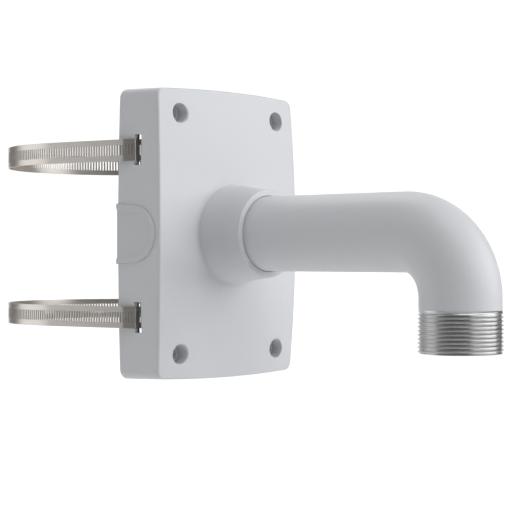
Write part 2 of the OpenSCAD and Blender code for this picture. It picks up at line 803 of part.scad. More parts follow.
module clamp_housing_upper() color([0.76, 0.75, 0.73]) at_clamp(1) clamp_housing();
module clamp_housing_lower() color([0.76, 0.75, 0.73]) at_clamp(-1) clamp_housing();
module clamp_saddle_upper() color([0.7, 0.69, 0.67]) at_clamp(1) clamp_saddle();
module clamp_saddle_lower() color([0.7, 0.69, 0.67]) at_clamp(-1) clamp_saddle();
module worm_screw_upper() color([0.65, 0.65, 0.66]) at_clamp(1) worm_screw();
module worm_screw_lower() color([0.65, 0.65, 0.66]) at_clamp(-1) worm_screw();

housing();
arm_tube();
arm_flange();
flange_gasket();
arm_seal_ring();
flange_screws_node();  // flange_screws
flange_washers();
entry_cover_left();
entry_cover_right();
ground_screw();
ground_washer();
strap_upper();
strap_lower();
clamp_housing_upper();
clamp_housing_lower();
clamp_saddle_upper();
clamp_saddle_lower();
worm_screw_upper();
worm_screw_lower();
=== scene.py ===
"""Looks of a strap-on mount bracket: powder-coated casting and arm, steel straps, worm clamps."""

import logging
import math
from dataclasses import dataclass, field
from enum import Enum

import bpy
import numpy as np
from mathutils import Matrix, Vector

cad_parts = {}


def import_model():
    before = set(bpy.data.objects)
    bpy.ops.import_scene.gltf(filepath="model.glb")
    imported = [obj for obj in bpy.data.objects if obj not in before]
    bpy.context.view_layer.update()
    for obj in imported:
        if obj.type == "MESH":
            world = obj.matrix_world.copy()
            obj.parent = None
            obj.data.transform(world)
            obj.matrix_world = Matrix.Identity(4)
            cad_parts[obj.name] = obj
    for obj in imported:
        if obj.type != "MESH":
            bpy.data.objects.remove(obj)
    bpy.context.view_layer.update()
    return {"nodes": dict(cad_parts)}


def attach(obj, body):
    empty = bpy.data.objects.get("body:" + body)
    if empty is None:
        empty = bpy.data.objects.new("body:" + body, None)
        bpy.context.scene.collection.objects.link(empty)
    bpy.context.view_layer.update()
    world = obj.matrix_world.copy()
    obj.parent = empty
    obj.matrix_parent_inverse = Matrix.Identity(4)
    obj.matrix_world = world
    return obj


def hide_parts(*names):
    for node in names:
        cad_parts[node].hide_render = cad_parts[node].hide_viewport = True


LOG = logging.getLogger("bracket")
MM = 0.001
TAU = 2 * math.pi

Array = np.ndarray


class Side(Enum):
    """The two long sides of the housing, as the sign of x."""

    LEFT = -1
    RIGHT = 1


class Level(Enum):
    """The two straps, as the sign of z."""

    UPPER = 1
    LOWER = -1


class LineRun(Enum):
    """Which way the rolling lines of a sheet run, as the coordinates that they follow."""

    ALONG_BAND = "UV"
    UPWARDS = "Object"


class Join(Enum):
    """What becomes of a solid's tools: they are added to it or cut from it."""

    ADD = "UNION"
    CUT = "DIFFERENCE"


# Colour and nodes


def to_linear(code: str) -> tuple[float, float, float, float]:
    """Turns an sRGB hex code into linear colour.

    Args:
        code: Six hex digits, such as "d8dadc".

    Returns:
        Linear red, green, blue and an alpha of one.
    """
    srgb = np.array([int(code[i:i + 2], 16) for i in (0, 2, 4)]) / 255
    linear = np.where(srgb <= 0.04045, srgb / 12.92, ((srgb + 0.055) / 1.055) ** 2.4)
    return (*(float(v) for v in linear), 1.0)


def add_node(tree: bpy.types.NodeTree, kind: str, values: dict | None = None,
             links: dict | None = None, **settings) -> bpy.types.Node:
    """Adds one node with its settings, socket values and links.

    Args:
        tree: The node tree that gets the node.
        kind: The node's type, without the ShaderNode prefix.
        values: Socket name or number to value.
        links: Socket name or number to the output socket that feeds it.
        **settings: Attributes of the node.

    Returns:
        The new node.
    """
    node = tree.nodes.new("ShaderNode" + kind)
    for name, value in settings.items():
        setattr(node, name, value)
    for key, value in (values or {}).items():
        node.inputs[key].default_value = value
    for key, socket in (links or {}).items():
        tree.links.new(socket, node.inputs[key])
    return node


def new_material(name: str) -> tuple[bpy.types.Material, bpy.types.NodeTree, bpy.types.Node]:
    """Makes an empty node material.

    Args:
        name: The material's name.

    Returns:
        The material, its tree and its Principled shader.
    """
    material = bpy.data.materials.new(name)
    material.use_nodes = True
    tree = material.node_tree
    shader = tree.nodes["Principled BSDF"]
    return material, tree, shader


def set_tones(ramp: bpy.types.Node, colour: str, shares: tuple[float, float],
              places: tuple[float, float] = (0.3, 0.7)) -> None:
    """Sets a ramp's two ends to a darker and a lighter share of one colour.

    Args:
        ramp: The colour ramp.
        colour: The middle colour as an sRGB hex code.
        shares: Factors of the linear colour at the low and the high end.
        places: Where the two ends lie on the ramp.
    """
    base = np.array(to_linear(colour))[:3]
    for stop, place_at, share in zip(ramp.color_ramp.elements, places, shares):
        stop.position = place_at
        stop.color = (*np.minimum(base * share, 1), 1.0)


@dataclass(frozen=True)
class PowderCoat:
    """Polyester powder coat on blasted aluminium: satin, with a fine orange peel.

    The melted powder leaves low rounded waves about a millimetre apart and a much finer
    grain, so that highlights are soft and slightly mottled. Inside corners get painted shade:
    the colour is darkened where ambient occlusion finds nearby surfaces, which draws the creases.
    """

    name: str = "powder_coat"
    colour: str = "dadcdf"
    roughness: float = 0.46
    peel_mm: float = 0.9
    peel_depth_mm: float = 0.012
    grain_mm: float = 0.35
    grain_share: float = 0.35
    relief: float = 0.55
    spread: float = 0.03
    tones: tuple[float, float] = (0.97, 1.02)
    edge_mm: float = 0.4
    # painted shade in inside corners: its reach, its darkest share of the colour and the occlusion
    # range it spans
    crease_shade_mm: float = 5.0
    crease_shade_share: float = 0.72
    crease_shade_open: tuple[float, float] = (0.35, 0.9)

    def material(self) -> bpy.types.Material:
        """Returns the finished material."""
        material, tree, shader = new_material(self.name)
        place = add_node(tree, "TexCoord").outputs["Object"]
        peel = add_node(tree, "TexNoise", {"Scale": 1 / (self.peel_mm * MM), "Detail": 2.0},
                        {"Vector": place})
        grain = add_node(tree, "TexNoise", {"Scale": 1 / (self.grain_mm * MM), "Detail": 1.0},
                         {"Vector": place})
        edge = add_node(tree, "Bevel", {"Radius": self.edge_mm * MM}, samples=6)
        height = add_node(tree, "MixRGB", {"Fac": self.grain_share},
                          {"Color1": peel.outputs["Fac"], "Color2": grain.outputs["Fac"]})
        bump = add_node(tree, "Bump",
                        {"Strength": self.relief, "Distance": self.peel_depth_mm * MM},
                        {"Height": height.outputs[0], "Normal": edge.outputs[0]})
        tone = add_node(tree, "ValToRGB", None, {"Fac": grain.outputs["Fac"]})
        set_tones(tone, self.colour, self.tones)
        rough = add_node(tree, "MapRange", {"To Min": self.roughness - self.spread,
                                            "To Max": self.roughness + self.spread},
                         {"Value": peel.outputs["Fac"]})
        # painted shade: ambient occlusion darkens the coat's colour in inside corners and creases
        near = add_node(tree, "AmbientOcclusion", {"Distance": self.crease_shade_mm * MM}, samples=8,
                        only_local=True)
        narrow, wide = self.crease_shade_open
        painted_crease_shade = add_node(tree, "MapRange", {"From Min": narrow, "From Max": wide,
                                           "To Min": self.crease_shade_share, "To Max": 1.0},
                        {"Value": near.outputs["AO"]})
        coat = add_node(tree, "VectorMath", None,
                        {0: tone.outputs["Color"], 1: painted_crease_shade.outputs["Result"]},
                        operation="MULTIPLY")
        tree.links.new(coat.outputs["Vector"], shader.inputs["Base Color"])
        tree.links.new(rough.outputs["Result"], shader.inputs["Roughness"])
        tree.links.new(bump.outputs["Normal"], shader.inputs["Normal"])
        shader.inputs["IOR"].default_value = 1.5
        return material


@dataclass(frozen=True)
class RolledSteel:
    """Cold rolled stainless band: bright and warm grey, with fine lines along its length.

    The rolls leave scratches a few hundredths of a millimetre apart, drawn here as coarse as
    they need to show.
    """

    name: str = "rolled_stainless"
    colour: str = "d8d3cc"
    roughness: float = 0.3
    line_mm: float = 0.25
    line_depth_mm: float = 0.0015
    relief: float = 0.4
    edge_mm: float = 0.12
    spread: tuple[float, float] = (0.06, 0.08)
    tones: tuple[float, float] = (0.9, 1.05)
    run: LineRun = LineRun.ALONG_BAND

    def material(self) -> bpy.types.Material:
        """Returns the finished material."""
        material, tree, shader = new_material(self.name)
        place = add_node(tree, "TexCoord").outputs[self.run.value]
        # the band's UV map is in millimetres, object coordinates are in metres
        stretch, unit = {LineRun.ALONG_BAND: ((0.02, 1.0, 1.0), 1.0),
                         LineRun.UPWARDS: ((0.05, 0.05, 1.0), 1 / MM)}[self.run]
        mapping = add_node(tree, "Mapping",
                           {"Scale": tuple(unit * v / self.line_mm for v in stretch)},
                           {"Vector": place})
        lines = add_node(tree, "TexNoise", {"Scale": 1.0, "Detail": 3.0, "Roughness": 0.6},
                         {"Vector": mapping.outputs[0]})
        edge = add_node(tree, "Bevel", {"Radius": self.edge_mm * MM}, samples=4)
        bump = add_node(tree, "Bump",
                        {"Strength": self.relief, "Distance": self.line_depth_mm * MM},
                        {"Height": lines.outputs["Fac"], "Normal": edge.outputs[0]})
        tone = add_node(tree, "ValToRGB", None, {"Fac": lines.outputs["Fac"]})
        set_tones(tone, self.colour, self.tones)
        rough = add_node(tree, "MapRange", {"To Min": self.roughness - self.spread[0],
                                            "To Max": self.roughness + self.spread[1]},
                         {"Value": lines.outputs["Fac"]})
        tree.links.new(tone.outputs["Color"], shader.inputs["Base Color"])
        tree.links.new(rough.outputs["Result"], shader.inputs["Roughness"])
        tree.links.new(bump.outputs["Normal"], shader.inputs["Normal"])
        shader.inputs["Metallic"].default_value = 1.0
        return material


@dataclass(frozen=True)
class PlatedMetal:
    """Headed, pressed or turned metal with a thin plate: smooth, faintly uneven in tone.

    The plate's grains are a tenth of a millimetre across. They blur reflections a little and
    leave the tone slightly cloudy, which sets a fastener apart from the rolled band.
    """

    name: str
    colour: str
    roughness: float
    grain_mm: float = 0.12
    grain_depth_mm: float = 0.004
    relief: float = 0.3
    cloud_mm: float = 4.0
    edge_mm: float = 0.15
    spread: tuple[float, float] = (0.05, 0.06)
    tones: tuple[float, float] = (0.92, 1.06)

    def material(self) -> bpy.types.Material:
        """Returns the finished material."""
        material, tree, shader = new_material(self.name)
        place = add_node(tree, "TexCoord").outputs["Object"]
        grain = add_node(tree, "TexNoise", {"Scale": 1 / (self.grain_mm * MM), "Detail": 2.0},
                         {"Vector": place})
        cloud = add_node(tree, "TexNoise", {"Scale": 1 / (self.cloud_mm * MM), "Detail": 3.0},
                         {"Vector": place})
        edge = add_node(tree, "Bevel", {"Radius": self.edge_mm * MM}, samples=4)
        bump = add_node(tree, "Bump",
                        {"Strength": self.relief, "Distance": self.grain_depth_mm * MM},
                        {"Height": grain.outputs["Fac"], "Normal": edge.outputs[0]})
        tone = add_node(tree, "ValToRGB", None, {"Fac": cloud.outputs["Fac"]})
        set_tones(tone, self.colour, self.tones)
        rough = add_node(tree, "MapRange", {"To Min": self.roughness - self.spread[0],
                                            "To Max": self.roughness + self.spread[1]},
                         {"Value": cloud.outputs["Fac"]})
        tree.links.new(tone.outputs["Color"], shader.inputs["Base Color"])
        tree.links.new(rough.outputs["Result"], shader.inputs["Roughness"])
        tree.links.new(bump.outputs["Normal"], shader.inputs["Normal"])
        shader.inputs["Metallic"].default_value = 1.0
        return material


@dataclass(frozen=True)
class Rubber:
    """Black EPDM of the gasket and the sealing ring: matt, slightly grey where light grazes it."""

    name: str = "epdm_rubber"
    colour: str = "1b1b1c"
    roughness: float = 0.72
    grain_mm: float = 0.3
    grain_depth_mm: float = 0.02
    relief: float = 0.4
    tones: tuple[float, float] = (0.85, 1.15)

    def material(self) -> bpy.types.Material:
        """Returns the finished material."""
        material, tree, shader = new_material(self.name)
        place = add_node(tree, "TexCoord").outputs["Object"]
        grain = add_node(tree, "TexNoise", {"Scale": 1 / (self.grain_mm * MM), "Detail": 3.0},
                         {"Vector": place})
        bump = add_node(tree, "Bump",
                        {"Strength": self.relief, "Distance": self.grain_depth_mm * MM},
                        {"Height": grain.outputs["Fac"]})
        tone = add_node(tree, "ValToRGB", None, {"Fac": grain.outputs["Fac"]})
        set_tones(tone, self.colour, self.tones, (0.0, 1.0))
        tree.links.new(tone.outputs["Color"], shader.inputs["Base Color"])
        tree.links.new(bump.outputs["Normal"], shader.inputs["Normal"])
        shader.inputs["Roughness"].default_value = self.roughness
        return material


@dataclass(frozen=True)
class PaintedPipe:
    """The arm's finish: powder coat down to the thread, then bare turned aluminium.

    The bare thread keeps the lathe's fine rings, which draw light out round the pipe.
    """

    name: str = "coated_and_turned_pipe"
    paint: PowderCoat = PowderCoat()
    metal: str = "d2d2d2"
    metal_roughness: float = 0.28
    paint_end_z_mm: float = -44.5
    turning_mm: float = 0.12
    turning_depth_mm: float = 0.002
    across_per_m: float = 60.0
    relief: float = 0.3
    tones: tuple[float, float] = (0.86, 1.08)

    def material(self) -> bpy.types.Material:
        """Returns the finished material: the paint's own nodes, mixed with bare metal below."""
        material = self.paint.material()
        material.name = self.name
        tree = material.node_tree
        shader = tree.nodes["Principled BSDF"]
        output = tree.nodes["Material Output"]
        place = add_node(tree, "TexCoord").outputs["Object"]
        across = self.across_per_m
        mapping = add_node(tree, "Mapping",
                           {"Scale": (across, across, 1 / (self.turning_mm * MM))},
                           {"Vector": place})
        lines = add_node(tree, "TexNoise", {"Scale": 1.0, "Detail": 2.0},
                         {"Vector": mapping.outputs[0]})
        tone = add_node(tree, "ValToRGB", None, {"Fac": lines.outputs["Fac"]})
        set_tones(tone, self.metal, self.tones)
        bump = add_node(tree, "Bump",
                        {"Strength": self.relief, "Distance": self.turning_depth_mm * MM},
                        {"Height": lines.outputs["Fac"]})
        bare = add_node(tree, "BsdfPrincipled",
                        {"Metallic": 1.0, "Roughness": self.metal_roughness},
                        {"Base Color": tone.outputs["Color"], "Normal": bump.outputs["Normal"]})
        split = add_node(tree, "SeparateXYZ", None, {"Vector": place})
        above = add_node(tree, "Math", {1: self.paint_end_z_mm * MM}, {0: split.outputs["Z"]},
                         operation="GREATER_THAN")
        mix = add_node(tree, "MixShader", None,
                       {0: above.outputs[0], 1: bare.outputs[0], 2: shader.outputs[0]})
        tree.links.new(mix.outputs[0], output.inputs["Surface"])
        return material


# Meshes


def mesh_object(name: str, points: Array, faces: Array, uv: Array | None = None,
                sharp_deg: float = 32.0) -> bpy.types.Object:
    """Puts arrays into a smooth-shaded mesh object at the origin.

    Args:
        name: The object's name.
        points: Vertices in millimetres, n by 3.
        faces: Vertex numbers, m by 3 or m by 4.
        uv: A pair for each vertex, in millimetres along the surface.
        sharp_deg: Edges that turn by more than this stay sharp.

    Returns:
        The new object, linked to the scene.
    """
    mesh = bpy.data.meshes.new(name)
    count, corners = faces.shape
    mesh.vertices.add(len(points))
    mesh.vertices.foreach_set("co", np.ascontiguousarray(points * MM, np.float32).ravel())
    mesh.loops.add(count * corners)
    mesh.loops.foreach_set("vertex_index", np.ascontiguousarray(faces, np.int32).ravel())
    mesh.polygons.add(count)
    mesh.polygons.foreach_set("loop_start", np.arange(count, dtype=np.int32) * corners)
    if uv is not None:
        layer = mesh.uv_layers.new(name="UVMap")
        layer.data.foreach_set("uv", np.ascontiguousarray(uv[faces.ravel()], np.float32).ravel())
    mesh.update(calc_edges=True)
    mesh.validate()
    smooth_shade(mesh, sharp_deg)
    piece = bpy.data.objects.new(name, mesh)
    bpy.context.collection.objects.link(piece)
    return piece


def grid_faces(rows: int, columns: int, wrap_rows: bool, wrap_columns: bool) -> Array:
    """Quads of a grid of points stored row by row.

    Args:
        rows: Number of rows of points.
        columns: Number of points in a row.
        wrap_rows: True where the last row joins the first.
        wrap_columns: True where the end of a row joins its start.

    Returns:
        Vertex numbers, one quad a line.
    """
    r = np.arange(rows if wrap_rows else rows - 1)
    c = np.arange(columns if wrap_columns else columns - 1)
    r, c = (a.ravel() for a in np.meshgrid(r, c, indexing="ij"))
    r2, c2 = (r + 1) % rows, (c + 1) % columns
    return np.stack([r * columns + c, r * columns + c2, r2 * columns + c2, r2 * columns + c], 1)


def arc(centre: tuple[float, float], radius: float, start: float, end: float,
        steps: int) -> Array:
    """Points on an arc: centre plus radius times (cos, sin) of evenly spaced angles.

    Args:
        centre: Middle of the arc.
        radius: Its radius.
        start: First angle in degrees.
        end: Last angle in degrees.
        steps: Number of stretches between the points.

    Returns:
        steps + 1 points.
    """
    a = np.radians(np.linspace(start, end, steps + 1))
    return np.stack([centre[0] + radius * np.cos(a), centre[1] + radius * np.sin(a)], 1)


def prism(outline: Array, low: float, high: float) -> tuple[Array, list[list[int]]]:
    """A closed block over an outline, between two heights.

    Args:
        outline: Points (x, y) in order.
        low: Height of the bottom.
        high: Height of the top.

    Returns:
        Vertices and faces as lists.
    """
    n = len(outline)
    points = np.vstack([np.column_stack([outline, np.full(n, h)]) for h in (low, high)])
    ring = np.arange(n)
    sides = np.stack([ring, (ring + 1) % n, (ring + 1) % n + n, ring + n], 1).tolist()
    return points, sides + [ring[::-1].tolist(), (ring + n).tolist()]


def loose_object(name: str, points: Array, faces: list) -> bpy.types.Object:
    """Makes an object from the faces of a closed solid, in millimetres, wound outwards.

    The signed volume is the sum of a . (b x c) / 6 over the triangle fans of all faces. A
    mirrored outline gives it a minus sign, and then every face is turned round.

    Args:
        name: The object's name.
        points: Vertices.
        faces: Lists of vertex numbers.

    Returns:
        The new object.
    """
    fans = np.array([(f[0], f[i], f[i + 1]) for f in faces for i in range(1, len(f) - 1)])
    a, b, c = (points[fans[:, i]] for i in range(3))
    order = -1 if np.einsum("ij,ij->", a, np.cross(b, c)) < 0 else 1
    mesh = bpy.data.meshes.new(name)
    mesh.from_pydata((points * MM).tolist(), [], [list(map(int, f))[::order] for f in faces])
    mesh.update()
    piece = bpy.data.objects.new(name, mesh)
    bpy.context.collection.objects.link(piece)
    return piece


def combine(target: bpy.types.Object, tools: list[bpy.types.Object], how: Join) -> None:
    """Joins or cuts a mesh with others, one after the other, and deletes the tools.

    Args:
        target: The object that changes.
        tools: Closed solids, which are gone afterwards.
        how: Whether they are added or taken away.
    """
    for tool in tools:
        change = target.modifiers.new("combine", "BOOLEAN")
        change.operation = how.value
        change.solver = "MANIFOLD"
        change.object = tool
    graph = bpy.context.evaluated_depsgraph_get()
    result = bpy.data.meshes.new_from_object(target.evaluated_get(graph), depsgraph=graph)
    target.modifiers.clear()
    target.data = result
    for tool in tools:
        bpy.data.objects.remove(tool)


def smooth_shade(mesh: bpy.types.Mesh, sharp_deg: float = 32.0) -> None:
    """Smooth shading, with sharp edges where the mesh turns by more than an angle."""
    mesh.shade_smooth()
    mesh.set_sharp_from_angle(angle=math.radians(sharp_deg))


# Sizes shared by the sub-assemblies, in millimetres


@dataclass(frozen=True)
class Layout:
    """Where the plate stands, from the saddle and the circle that the straps lie on.

    The saddle's flanks slope by saddle_slope and touch that circle, so their root lies its
    radius / cos(slope) from its axis, which is the middle of the frame.
    """

    pole_r: float = 77.7
    saddle_slope: float = 25.0
    saddle_depth: float = 20.0
    box_depth: float = 33.7
    strap_w: float = 13.6
    strap_t: float = 0.7
    strap_spacing: float = 104.6
    tube_r: float = 23.6
    collar_gap: float = 0.25

    @property
    def collar_bore_r(self) -> float:
        """The collar's bore, with the seam round the tube."""
        return self.tube_r + self.collar_gap

    @property
    def rear_y(self) -> float:
        """The plane of the housing's rear edge."""
        return self.saddle_depth - self.pole_r / math.cos(math.radians(self.saddle_slope))

    @property
    def rim_y(self) -> float:
        """The plane of the front rim's corners."""
        return self.rear_y - self.box_depth

    def to_row(self, points: Array) -> Array:
        """Moves (across, up, out of the plate) to the row's frame: x, rim_y - out, up."""
        return np.stack([points[..., 0], self.rim_y - points[..., 2], points[..., 1]], -1)

    def turn_to_row(self, steps: Array) -> Array:
        """Turns directions (across, up, out of the plate) to the row's frame."""
        return np.stack([steps[..., 0], -steps[..., 2], steps[..., 1]], -1)


@dataclass(frozen=True)
class Housing:
    """The die casting: crowned face, drafted walls, collar, bosses, slots and V saddle."""

    layout: Layout
    half_w: float = 60.95
    half_h: float = 90.15
    draft: float = 1.9
    side_bow: float = 1.85
    end_bow: float = 1.65
    corner_r: float = 4.8
    rim_r: float = 1.4
    crown_h: float = 6.3
    crown_share: float = 0.41
    wall: float = 3.5
    face_wall: float = 4.0
    hole_dx: float = 88.0
    hole_dz: float = 150.6
    hole_r: float = 4.5
    cbore_r: float = 6.15
    cbore_depth: float = 6.0
    cbore_edge: float = 0.5
    boss_r: float = 8.2
    boss_end: float = 29.9
    boss_edge: float = 0.6
    boss_flare_at: float = 8.0
    web_end: float = 25.0
    web_lap: float = 0.5
    rib_lap: float = 0.8
    rib_t: float = 2.5
    rib_thin: float = 0.75
    ground_x: float = 22.0
    ground_z: float = -72.0
    ground_boss_r: float = 6.0
    ground_boss_end: float = 9.0
    ground_hole_r: float = 2.55
    rear_lip: float = 0.4
    floor_fillet: float = 2.5
    seat_fillet: float = 2.0
    bore_edge: float = 0.3
    collar_foot_r: float = 31.7
    collar_mouth_r: float = 27.7
    collar_h: float = 37.1
    collar_fillet: float = 1.4
    collar_edge: float = 1.0
    seat_r: float = 36.0
    seat_depth: float = 6.0
    slot_room: float = 5.5
    slot_lip: float = 18.75
    slot_w: float = 5.5
    slot_ramp: float = 1.6
    slot_ramp_in: float = 1.0
    saddle_root_r: float = 1.5
    entry_r: float = 17.5
    entry_setback: float = 0.6
    entry_lap: float = 5.5
    entry_flare: float = 5.4
    past: float = 2.0

    @property
    def grow(self) -> float:
        """How much the draft widens each side from the rim to the rear edge."""
        return self.layout.box_depth * math.tan(math.radians(self.draft))

    @property
    def rear_half(self) -> float:
        """Half width of the rear edge at mid-height."""
        return self.half_w + self.grow + self.side_bow

    def crown(self, x: Array, z: Array) -> Array:
        """Height of the face: the crown less a parabola across and a parabola up."""
        return self.crown_h * (1 - self.crown_share * (x / self.half_w) ** 2
                               - (1 - self.crown_share) * (z / self.half_h) ** 2)

    def outline(self, inset: float = 0.0, grow: float = 0.0) -> Array:
        """The wall's outline at one depth.

        A rounded rectangle whose sides are bowed: x grows by side_bow (1 - (z / h)^2) of
        itself over the half width, and z likewise with end_bow.

        Args:
            inset: How far the outline is moved in.
            grow: How far the draft has widened it.

        Returns:
            The same number of points at every depth, anticlockwise from the right side.
        """
        hw, hh = self.half_w + grow - inset, self.half_h + grow - inset
        r = max(self.corner_r + grow - inset, 0.8)
        corners = [arc((sx * (hw - r), sz * (hh - r)), r, a, a + 90, 12)
                   for sx, sz, a in ((1, 1, 0), (-1, 1, 90), (-1, -1, 180), (1, -1, 270))]
        loop = []
        for k, steps in enumerate((40, 60, 40, 60)):
            start, end = corners[k][-1], corners[(k + 1) % 4][0]
            t = np.linspace(0, 1, steps + 1)[1:-1, None]
            loop += [corners[k], start + (end - start) * t]
        p = np.vstack(loop)
        x = p[:, 0] * (1 + self.side_bow / hw * (1 - (p[:, 1] / hh) ** 2))
        z = p[:, 1] * (1 + self.end_bow / hh * (1 - (p[:, 0] / hw) ** 2))
        return np.stack([x, z], 1)

    def face_rings(self, edge: Array, radius: float, drop: float, steps: int) -> list[Array]:
        """Rings of the crowned face between a circle and the outline.

        Each ring is the straight mix of the circle and the outline, at the crown's height.

        Args:
            edge: The outline, one point for each column.
            radius: Radius of the circle, at each outline point's own angle.
            drop: How far the rings lie under the crown.
            steps: Number of stretches.

        Returns:
            Rings from the circle to the outline.
        """
        a = np.arctan2(edge[:, 1], edge[:, 0])
        circle = radius * np.stack([np.cos(a), np.sin(a)], 1)
        rings = []
        for s in np.linspace(0, 1, steps + 1):
            p = circle + (edge - circle) * s
            rings.append(np.column_stack([p, self.crown(p[:, 0], p[:, 1]) - drop]))
        return rings

    def collar_rings(self, a: Array) -> list[Array]:
        """Rings of the collar from its mouth down to the crowned face.

        The profile is the mouth's edge radius, the tapered wall and the foot's fillet. The
        fillet's rings take up the crown's change of height round the collar little by little.

        Args:
            a: The angle of each column.

        Returns:
            Rings from the bore's mouth to the fillet's end.
        """
        top, foot, f, e = (self.collar_mouth_r, self.collar_foot_r, self.collar_fillet,
                           self.collar_edge)
        base = float(self.crown(np.array(foot + f), np.array(0.0)))
        taper = math.degrees(math.atan((foot - top) / (self.collar_h - base)))
        tan, cos, sin = (fn(math.radians(taper)) for fn in (math.tan, math.cos, math.sin))
        fx = foot + f * cos - f * (1 - sin) * tan
        bore = self.layout.collar_bore_r
        mouth = arc((top - e * cos, self.collar_h - e), e, 90, taper, 7)
        fillet = arc((fx, base + f), f, 180 + taper, 270, 9)
        wall = mouth[-1] + (fillet[0] - mouth[-1]) * np.linspace(0, 1, 10)[1:-1, None]
        profile = np.vstack([[[bore, self.collar_h - self.bore_edge],
                              [bore + self.bore_edge, self.collar_h]], mouth, wall, fillet])
        share = np.clip((base + f - profile[:, 1]) / f, 0, 1)
        direction = np.stack([np.cos(a), np.sin(a)], 1)
        rings = []
        for (r, h), w in zip(profile, share):
            p = r * direction
            change = self.crown(p[:, 0], p[:, 1]) - base
            rings.append(np.column_stack([p, h + w * change]))
        return rings

    def skin(self) -> bpy.types.Object:
        """The casting's whole skin as one closed grid.

        Columns run round the arm's axis. Rows run from the collar's mouth over the face, the
        rim and the walls to the rear edge, then back inside over the walls, the floor and the
        flange seat, and through the bore to the mouth.
        """
        rim = self.outline(self.rim_r)
        a = np.arctan2(rim[:, 1], rim[:, 0])
        direction = np.stack([np.cos(a), np.sin(a)], 1)
        rings = self.collar_rings(a)
        rings += self.face_rings(rim, float(np.hypot(*rings[-1][0, :2])), 0.0, 26)[1:]
        top = self.crown(rim[:, 0], rim[:, 1])
        for b in np.radians(np.linspace(90, 0, 8))[1:]:
            p = self.outline(self.rim_r * (1 - math.cos(b)))
            rings.append(np.column_stack([p, top - self.rim_r * (1 - math.sin(b))]))
        depth, lip = self.layout.box_depth, self.rear_lip
        foot = self.outline(0, self.grow)
        last = rings[-1]
        for s in np.linspace(0, 1, 14)[1:]:
            flat = last[:, :2] + (foot - last[:, :2]) * s
            out = last[:, 2] + (lip - depth - last[:, 2]) * s
            rings.append(np.column_stack([flat, out]))
        full = np.full(len(rim), -depth)
        rings.append(np.column_stack([self.outline(lip, self.grow), full]))
        rings.append(np.column_stack([self.outline(self.wall - lip, self.grow), full]))
        inner_rear = self.outline(self.wall, self.grow)
        rings.append(np.column_stack([inner_rear, full + lip]))
        f, g = self.floor_fillet, self.seat_fillet
        inner = self.outline(self.wall + f)
        floor = self.crown(inner[:, 0], inner[:, 1]) - self.face_wall
        for s in np.linspace(0, 1, 9)[1:]:
            p = inner_rear + (self.outline(self.wall) - inner_rear) * s
            out = lip - depth + (floor - f + depth - lip) * s
            rings.append(np.column_stack([p, out]))
        for b in np.radians(np.linspace(0, 90, 6))[1:]:
            p = self.outline(self.wall + f * (1 - math.cos(b)))
            rings.append(np.column_stack([p, floor - f * (1 - math.sin(b))]))
        rings += self.face_rings(inner, self.seat_r + g, self.face_wall, 14)[::-1][1:]
        around = (self.seat_r + g) * direction
        base = self.crown(around[:, 0], around[:, 1]) - self.face_wall
        for b in np.radians(np.linspace(0, 90, 5))[1:]:
            p = (self.seat_r + g * (1 - math.sin(b))) * direction
            rings.append(np.column_stack([p, base - g * (1 - math.cos(b))]))
        bore, edge = self.layout.collar_bore_r, self.bore_edge
        for r in (self.seat_r, bore + edge):
            rings.append(np.column_stack([r * direction, np.full(len(rim), -self.seat_depth)]))
        for out in np.linspace(edge - self.seat_depth, self.collar_h - edge, 8)[:-1]:
            rings.append(np.column_stack([bore * direction, np.full(len(rim), out)]))
        points = np.array(rings)
        faces = grid_faces(len(rings), len(rim), True, True)[:, ::-1]
        return mesh_object("housing_skin", self.layout.to_row(points).reshape(-1, 3), faces)

    def in_row(self, name: str, points: Array, faces: list) -> bpy.types.Object:
        """Makes an object from points in the plate's frame."""
        return loose_object(name, self.layout.to_row(np.asarray(points, float)), faces)

    def post(self, x: float, z: float, profile: list[tuple[float, float]]) -> bpy.types.Object:
        """A round solid along the arm's direction, from a profile of (radius, out).

        Args:
            x: Its place across.
            z: Its place up.
            profile: Points from the rear end to the front end, without the axis.

        Returns:
            The solid.
        """
        steps = 64
        t = np.arange(steps) * TAU / steps
        rings = np.array([[x + r * np.cos(t), z + r * np.sin(t), np.full(steps, out)]
                          for r, out in profile]).transpose(0, 2, 1)
        n = len(profile)
        faces = grid_faces(n, steps, False, True).tolist()
        caps = [list(range(steps))[::-1], list(range((n - 1) * steps, n * steps))]
        return self.in_row("post", rings.reshape(-1, 3), faces + caps)

    def bar(self, start: tuple[float, float], end: tuple[float, float], low: float,
            high: float) -> bpy.types.Object:
        """A straight rib between two points of the plate, drafted to a thinner free edge.

        Args:
            start: First point (across, up).
            end: Last point.
            low: Depth of its free edge.
            high: Depth of its root.

        Returns:
            The rib.
        """
        a, b = np.array(start), np.array(end)
        d = (b - a) / np.linalg.norm(b - a)
        n = np.array([-d[1], d[0]])
        rows = []
        for out, t in ((low, self.rib_t * self.rib_thin), (high, self.rib_t)):
            rows += [[*(p + s * n * t / 2), out] for p, s in ((a, -1), (b, -1), (b, 1), (a, 1))]
        sides = [[k, (k + 1) % 4, (k + 1) % 4 + 4, k + 4] for k in range(4)]
        faces = [[3, 2, 1, 0], [4, 5, 6, 7], *sides]
        return self.in_row("rib", np.array(rows), faces)

